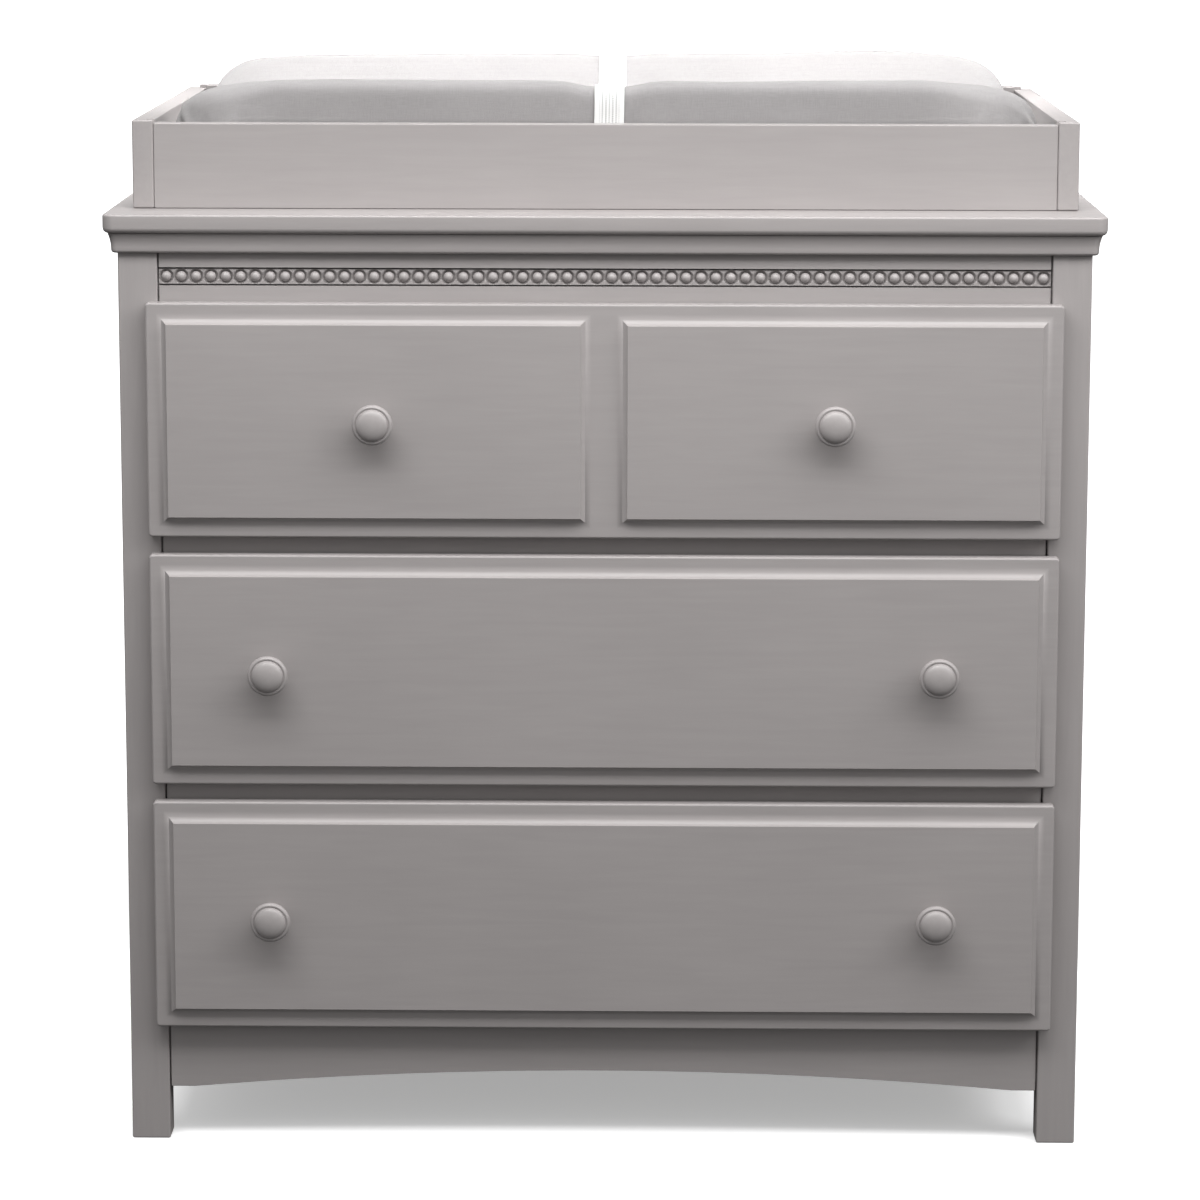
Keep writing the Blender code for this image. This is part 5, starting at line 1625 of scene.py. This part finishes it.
def strap_route(front, tree):
    """The strap's middle line over the finished pad, from the tray's floor to the buckle."""
    strap = settings().strap
    reach = STRAP_LIFT + strap.thickness / 2
    buckle_edge = low("buckle_socket").y if front else high("buckle_plug").y
    outer = PAD_NEAR.y if front else PAD_FAR.y
    inward = 1 if front else -1
    length = abs(buckle_edge - outer)
    places = []
    steps = 44
    for i in range(steps + 1):
        depth = length * (1 - math.cos(math.pi * i / steps / 2)) if i < steps // 2 else None
        if depth is None:
            start = length * (1 - math.cos(math.pi / 4))
            depth = start + (length - start) * (i - steps // 2) / (steps - steps // 2)
        depth_in = depth if front else PAD_DEPTH - depth
        places.append(Vector((0.0, outer + inward * depth, PAD_NEAR.z + pad_height(depth_in) + 0.004)))
    path = [Vector((0.0, outer - inward * 0.0012, PAD_NEAR.z + level)) for level in (0.003, 0.016, 0.030)]
    for place in places[2:]:
        place.x = STRAP_MIDDLE
        spot, normal, _, _ = tree.find_nearest(place, BVH_REACH)
        if spot is None:
            raise RuntimeError("the strap lost the pad")
        normal.x = 0.0
        path.append(spot + normal.normalized() * reach)
    wall = low("safety_strap_front").y + 0.0006 if front else high("safety_strap_rear").y - 0.0006
    for place in path:
        place.y = max(place.y, wall) if front else min(place.y, wall)
    buckle_level = (low("buckle_socket").z + high("buckle_socket").z) / 2
    path[-1].z = max(path[-1].z, buckle_level - 0.001)
    path[-1].y = buckle_edge - inward * 0.0008
    for _ in range(3):
        path = [path[0]] + [
            (before + here * 2 + after) / 4 for before, here, after in zip(path, path[1:], path[2:])
        ] + [path[-1]]
    if not front:
        for place in path:
            place.z += 0.0022 * hump(place.y, PAD_FAR.y - CREST_INSET, 0.035)
    return path


def hold_off(line, tree, reach):
    """Moves the line's points straight out of the pad until they lie at least this far off it."""
    for place in line:
        spot, normal, _, _ = tree.find_nearest(place, BVH_REACH)
        if spot is None:
            continue
        short = reach - (place - spot).dot(normal)
        if short > 0:
            place.y += normal.y * short
            place.z += normal.z * short


def even_line(path, step, tree, reach):
    """The same line with points at even steps, and the direction at each."""
    lengths = [0.0]
    for start, end in zip(path, path[1:]):
        lengths.append(lengths[-1] + (end - start).length)
    count = max(int(lengths[-1] / step), 2)
    line, piece = [], 0
    for i in range(count + 1):
        target = lengths[-1] * i / count
        while piece < len(path) - 2 and lengths[piece + 1] < target:
            piece += 1
        share = (target - lengths[piece]) / max(lengths[piece + 1] - lengths[piece], 1e-9)
        line.append(path[piece].lerp(path[piece + 1], share))
    for _ in range(8):
        line = [line[0]] + [(a + b * 2 + c) / 4 for a, b, c in zip(line, line[1:], line[2:])] + [line[-1]]
        hold_off(line, tree, reach)
    ahead = [(line[min(i + 1, count)] - line[max(i - 1, 0)]).normalized() for i in range(count + 1)]
    return line, ahead


GAP_PITCH_ACROSS = 0.0031
GAP_PITCH_ALONG = 0.0020
SELVEDGE = 0.0045
ROW_STEP = 0.00066
WEBBING_COLUMNS = 41


def gap_depth(across, along, width):
    """From 0 on the yarns to 1 in the middle of a gap; the plain selvedges have none."""
    if abs(across) > width / 2 - SELVEDGE:
        return 0.0
    column = across / GAP_PITCH_ACROSS
    row = along / GAP_PITCH_ALONG + (0.5 if round(column) % 2 else 0.0)
    off_column = abs(column - round(column)) * GAP_PITCH_ACROSS
    off_row = abs(row - round(row)) * GAP_PITCH_ALONG
    return soft_step(math.hypot(off_column / 0.75, off_row / 0.62), 0.00115, 0.00045)


def strap_mesh(name, path, tree):
    """A band along the path whose upper face dips at the small gaps of its open weave."""
    strap = settings().strap
    line, ahead = even_line(path, ROW_STEP, tree, STRAP_LIFT + strap.thickness / 2)
    columns = WEBBING_COLUMNS
    form = bmesh.new()
    mask = form.verts.layers.float.new("gap")
    spots = {}
    rows = []
    for i, (place, direction) in enumerate(zip(line, ahead)):
        normal = Vector((1.0, 0.0, 0.0)).cross(direction).normalized()
        along = i * ROW_STEP
        ring = []
        for face in (1, -1):
            order = range(columns) if face == 1 else reversed(range(columns))
            for j in order:
                across = strap.width * (j / (columns - 1) - 0.5)
                edge = 1 - (abs(across) / (strap.width / 2)) ** 8
                gap = gap_depth(across, along, strap.width)
                rib = 0.00007 * math.cos(2 * math.pi * along / GAP_PITCH_ALONG)
                half = strap.thickness / 2 * (0.45 + 0.55 * edge) - 0.00042 * gap + rib * edge
                vert = form.verts.new(place + Vector((across, 0.0, 0.0)) + normal * face * half)
                vert[mask] = gap
                spots[vert] = (across, along)
                ring.append(vert)
        rows.append(ring)
    uv = form.loops.layers.uv.new("yarns")
    skin(form, rows)
    form.faces.new(rows[0])
    form.faces.new(list(reversed(rows[-1])))
    bmesh.ops.recalc_face_normals(form, faces=form.faces)
    for face in form.faces:
        face.smooth = True
        for loop in face.loops:
            loop[uv].uv = spots[loop.vert]
    return mesh_from(name, form), line, ahead


def box_stitch(line, ahead, width, length, from_end):
    """Rectangle of stitches on the sewn-back end of a strap, as four straight runs."""
    strap = settings().strap
    count = len(line)
    step = (line[1] - line[0]).length
    stop = count - 1 - int(from_end / step)
    start = stop - int(length / step)

    def spot(i, across):
        normal = Vector((1.0, 0.0, 0.0)).cross(ahead[i]).normalized()
        normal *= 1 if normal.z > 0 else -1
        return line[i] + Vector((across, 0.0, 0.0)) + normal * (strap.thickness / 2 + 0.0001)

    half = width / 2
    runs = [[spot(i, side * half) for i in range(start, stop)] for side in (-1, 1)]
    runs += [[spot(i, half * (j / 10 - 1)) for j in range(21)] for i in (start, stop)]
    return runs


def rounded_plate(name, outline, low_z, high_z, round_edge, material):
    """A plate of a plan outline with round upper and lower rims."""
    form = bmesh.new()
    verts = [form.verts.new((x, y, low_z)) for x, y in outline]
    face = form.faces.new(verts)
    grown_faces = bmesh.ops.extrude_face_region(form, geom=[face])["geom"]
    moved = [g for g in grown_faces if isinstance(g, bmesh.types.BMVert)]
    bmesh.ops.translate(form, verts=moved, vec=(0.0, 0.0, high_z - low_z))
    bmesh.ops.recalc_face_normals(form, faces=form.faces)
    piece = add_piece(name, mesh_from(name, form), material)
    add_bevel(piece, round_edge, 40.0, 3)
    settle(piece)
    return piece


def arc(centre, radius, start, end, steps=6):
    """Points on an arc, in degrees."""
    return [
        (
            centre[0] + radius * math.cos(math.radians(start + (end - start) * i / steps)),
            centre[1] + radius * math.sin(math.radians(start + (end - start) * i / steps)),
        )
        for i in range(steps + 1)
    ]


def fuse(name, pieces):
    """One piece of several closed shells."""
    form = bmesh.new()
    for piece in pieces:
        form.from_mesh(piece.data)
    materials = list(pieces[0].data.materials)
    for piece in pieces:
        bpy.data.objects.remove(piece, do_unlink=True)
    return add_piece(name, mesh_from(name, form), *materials)


PLATE_ROUND = 0.0011
CROWN_ROUND = 0.0007
CROWN_LIFT = 0.0012
SOCKET_CORNER = 0.004
SOCKET_WINDOW = 0.0045
SOCKET_RIBS = 4
RIB_PITCH = 0.0016
PLUG_CORNER = 0.005
ARM_ABOVE_FOOT = 0.0022
ARM_BELOW_HEAD = 0.0030
BOX_STITCH_WIDTH = 0.021
BOX_STITCH_LENGTH = 0.018
BOX_STITCH_FROM_END = 0.006


class MakeStrapAndBuckle(bpy.types.Operator):
    """White safety strap in two halves, with its side-release buckle"""

    bl_idname = "changing_table.make_strap_and_buckle"
    bl_label = "Strap and Buckle"

    def execute(self, context):
        pad = bpy.data.objects["pad_in_cover"]
        tree = BVHTree.FromObject(pad, context.evaluated_depsgraph_get())
        seams = []
        for name, front in (("safety_strap_front", True), ("safety_strap_rear", False)):
            mesh, line, ahead = strap_mesh(f"{name}_webbing", strap_route(front, tree), tree)
            strap = add_piece(f"{name}_webbing", mesh, webbing())
            stand_for(strap, "pad", "strap_webbing", name)
            seams += box_stitch(line, ahead, BOX_STITCH_WIDTH, BOX_STITCH_LENGTH, BOX_STITCH_FROM_END)
        add_stitches("strap_stitches", "pad", "strap_webbing", seams, (0.66, 0.66, 0.65), 0.0026)
        self.make_socket()
        self.make_plug()
        return {"FINISHED"}

    def make_socket(self):
        """The hollow half: side windows, a domed thumb rest and grip ribs."""
        near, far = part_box("buckle_socket")
        half = (far.x - near.x) / 2
        front, back = near.y, far.y
        window, corner = SOCKET_WINDOW, SOCKET_CORNER
        outline = arc((-half + corner, front + corner), corner, 180, 270)
        outline += arc((half - corner, front + corner), corner, 270, 360)
        outline += [(half, front + 0.009), (half - window, front + 0.012), (half - window, back - 0.008)]
        outline += [(half - 0.001, back - 0.005), (half - 0.001, back)]
        outline += [(-half + 0.001, back), (-half + 0.001, back - 0.005), (-half + window, back - 0.008)]
        outline += [(-half + window, front + 0.012), (-half, front + 0.009)]
        body = rounded_plate("socket_body", outline, near.z, far.z - CROWN_LIFT, PLATE_ROUND, plastic())
        pieces = [body]
        crown = [(x * 0.72, front + 0.0045 + (y - front) * 0.66) for x, y in outline]
        pieces.append(rounded_plate("socket_crown", crown, near.z + 0.001, far.z, CROWN_ROUND, plastic()))
        for i in range(SOCKET_RIBS):
            y = front + 0.0030 + RIB_PITCH * i
            reach, thick = half * 0.55, 0.0004
            rib = [(-reach, y - thick), (reach, y - thick), (reach, y + thick), (-reach, y + thick)]
            pieces.append(rounded_plate(f"rib_{i}", rib, far.z - 0.0020, far.z - 0.0006, 0.00025, plastic()))
        socket = fuse("buckle_socket_moulded", pieces)
        smooth_hard(socket, 45.0)
        stand_for(socket, "pad", "buckle_plastic", "buckle_socket")

    def make_plug(self):
        """The half with two sprung arms that show in the socket's windows."""
        near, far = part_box("buckle_plug")
        half = (far.x - near.x) / 2
        joint = high("buckle_socket").y + 0.0006
        back = far.y
        outline = [(-half + 0.0005, joint), (half - 0.0005, joint), (half, joint + 0.003)]
        corner = PLUG_CORNER
        outline += arc((half - corner, back - corner), corner, 0, 90)
        outline += arc((-half + corner, back - corner), corner, 90, 180)
        outline += [(-half, joint + 0.003)]
        body = rounded_plate("plug_body", outline, near.z, far.z - CROWN_LIFT, PLATE_ROUND, plastic())
        crown = [(x * 0.74, joint + 0.004 + (y - joint) * 0.58) for x, y in outline]
        pieces = [body, rounded_plate("plug_crown", crown, near.z + 0.001, far.z, CROWN_ROUND, plastic())]
        for side in (-1, 1):
            arm = [
                (side * (half - 0.0052), joint + 0.002), (side * (half - 0.0018), joint + 0.002),
                (side * (half - 0.0018), joint - 0.0075), (side * (half - 0.0002), joint - 0.0095),
                (side * (half - 0.0004), joint - 0.0165), (side * (half - 0.0026), joint - 0.0185),
                (side * (half - 0.0040), joint - 0.0180), (side * (half - 0.0041), joint - 0.0085),
            ]
            if side > 0:
                arm.reverse()
            foot, head = near.z + ARM_ABOVE_FOOT, far.z - ARM_BELOW_HEAD
            pieces.append(rounded_plate(f"arm_{side}", arm, foot, head, 0.0005, plastic()))
        plug = fuse("buckle_plug_moulded", pieces)
        smooth_hard(plug, 45.0)
        stand_for(plug, "pad", "buckle_plastic", "buckle_plug")


# ---- Panel and registration -------------------------------------------------------------

STEPS = (
    MakeStage, MakeCabinet, MakeBeadStrip, MakeDrawerFronts, MakeKnobs, MakeDrawerBoxes,
    MakeSlides, MakeTray, MakePad, MakeStrapAndBuckle,
)


class ChangingTablePanel(bpy.types.Panel):
    """Lists the steps that make the changing table"""

    bl_idname = "VIEW3D_PT_changing_table"
    bl_label = "Changing Table"
    bl_space_type = "VIEW_3D"
    bl_region_type = "UI"
    bl_category = "Changing Table"

    def draw(self, context):
        for step in STEPS:
            self.layout.operator(step.bl_idname)


SETTINGS = (
    PaintSettings, DrawerFrontSettings, KnobSettings, BeadSettings, PadSettings, StrapSettings,
    StageSettings, ChangingTableSettings,
)
CLASSES = (*SETTINGS, *STEPS, ChangingTablePanel)


def register():
    for item in CLASSES:
        bpy.utils.register_class(item)
    bpy.types.Scene.changing_table = PointerProperty(type=ChangingTableSettings)


def unregister():
    del bpy.types.Scene.changing_table
    for item in reversed(CLASSES):
        bpy.utils.unregister_class(item)


def main():
    register()
    for step in STEPS:
        family, name = step.bl_idname.split(".")
        getattr(getattr(bpy.ops, family), name)()


if __name__ == "__main__":
    main()
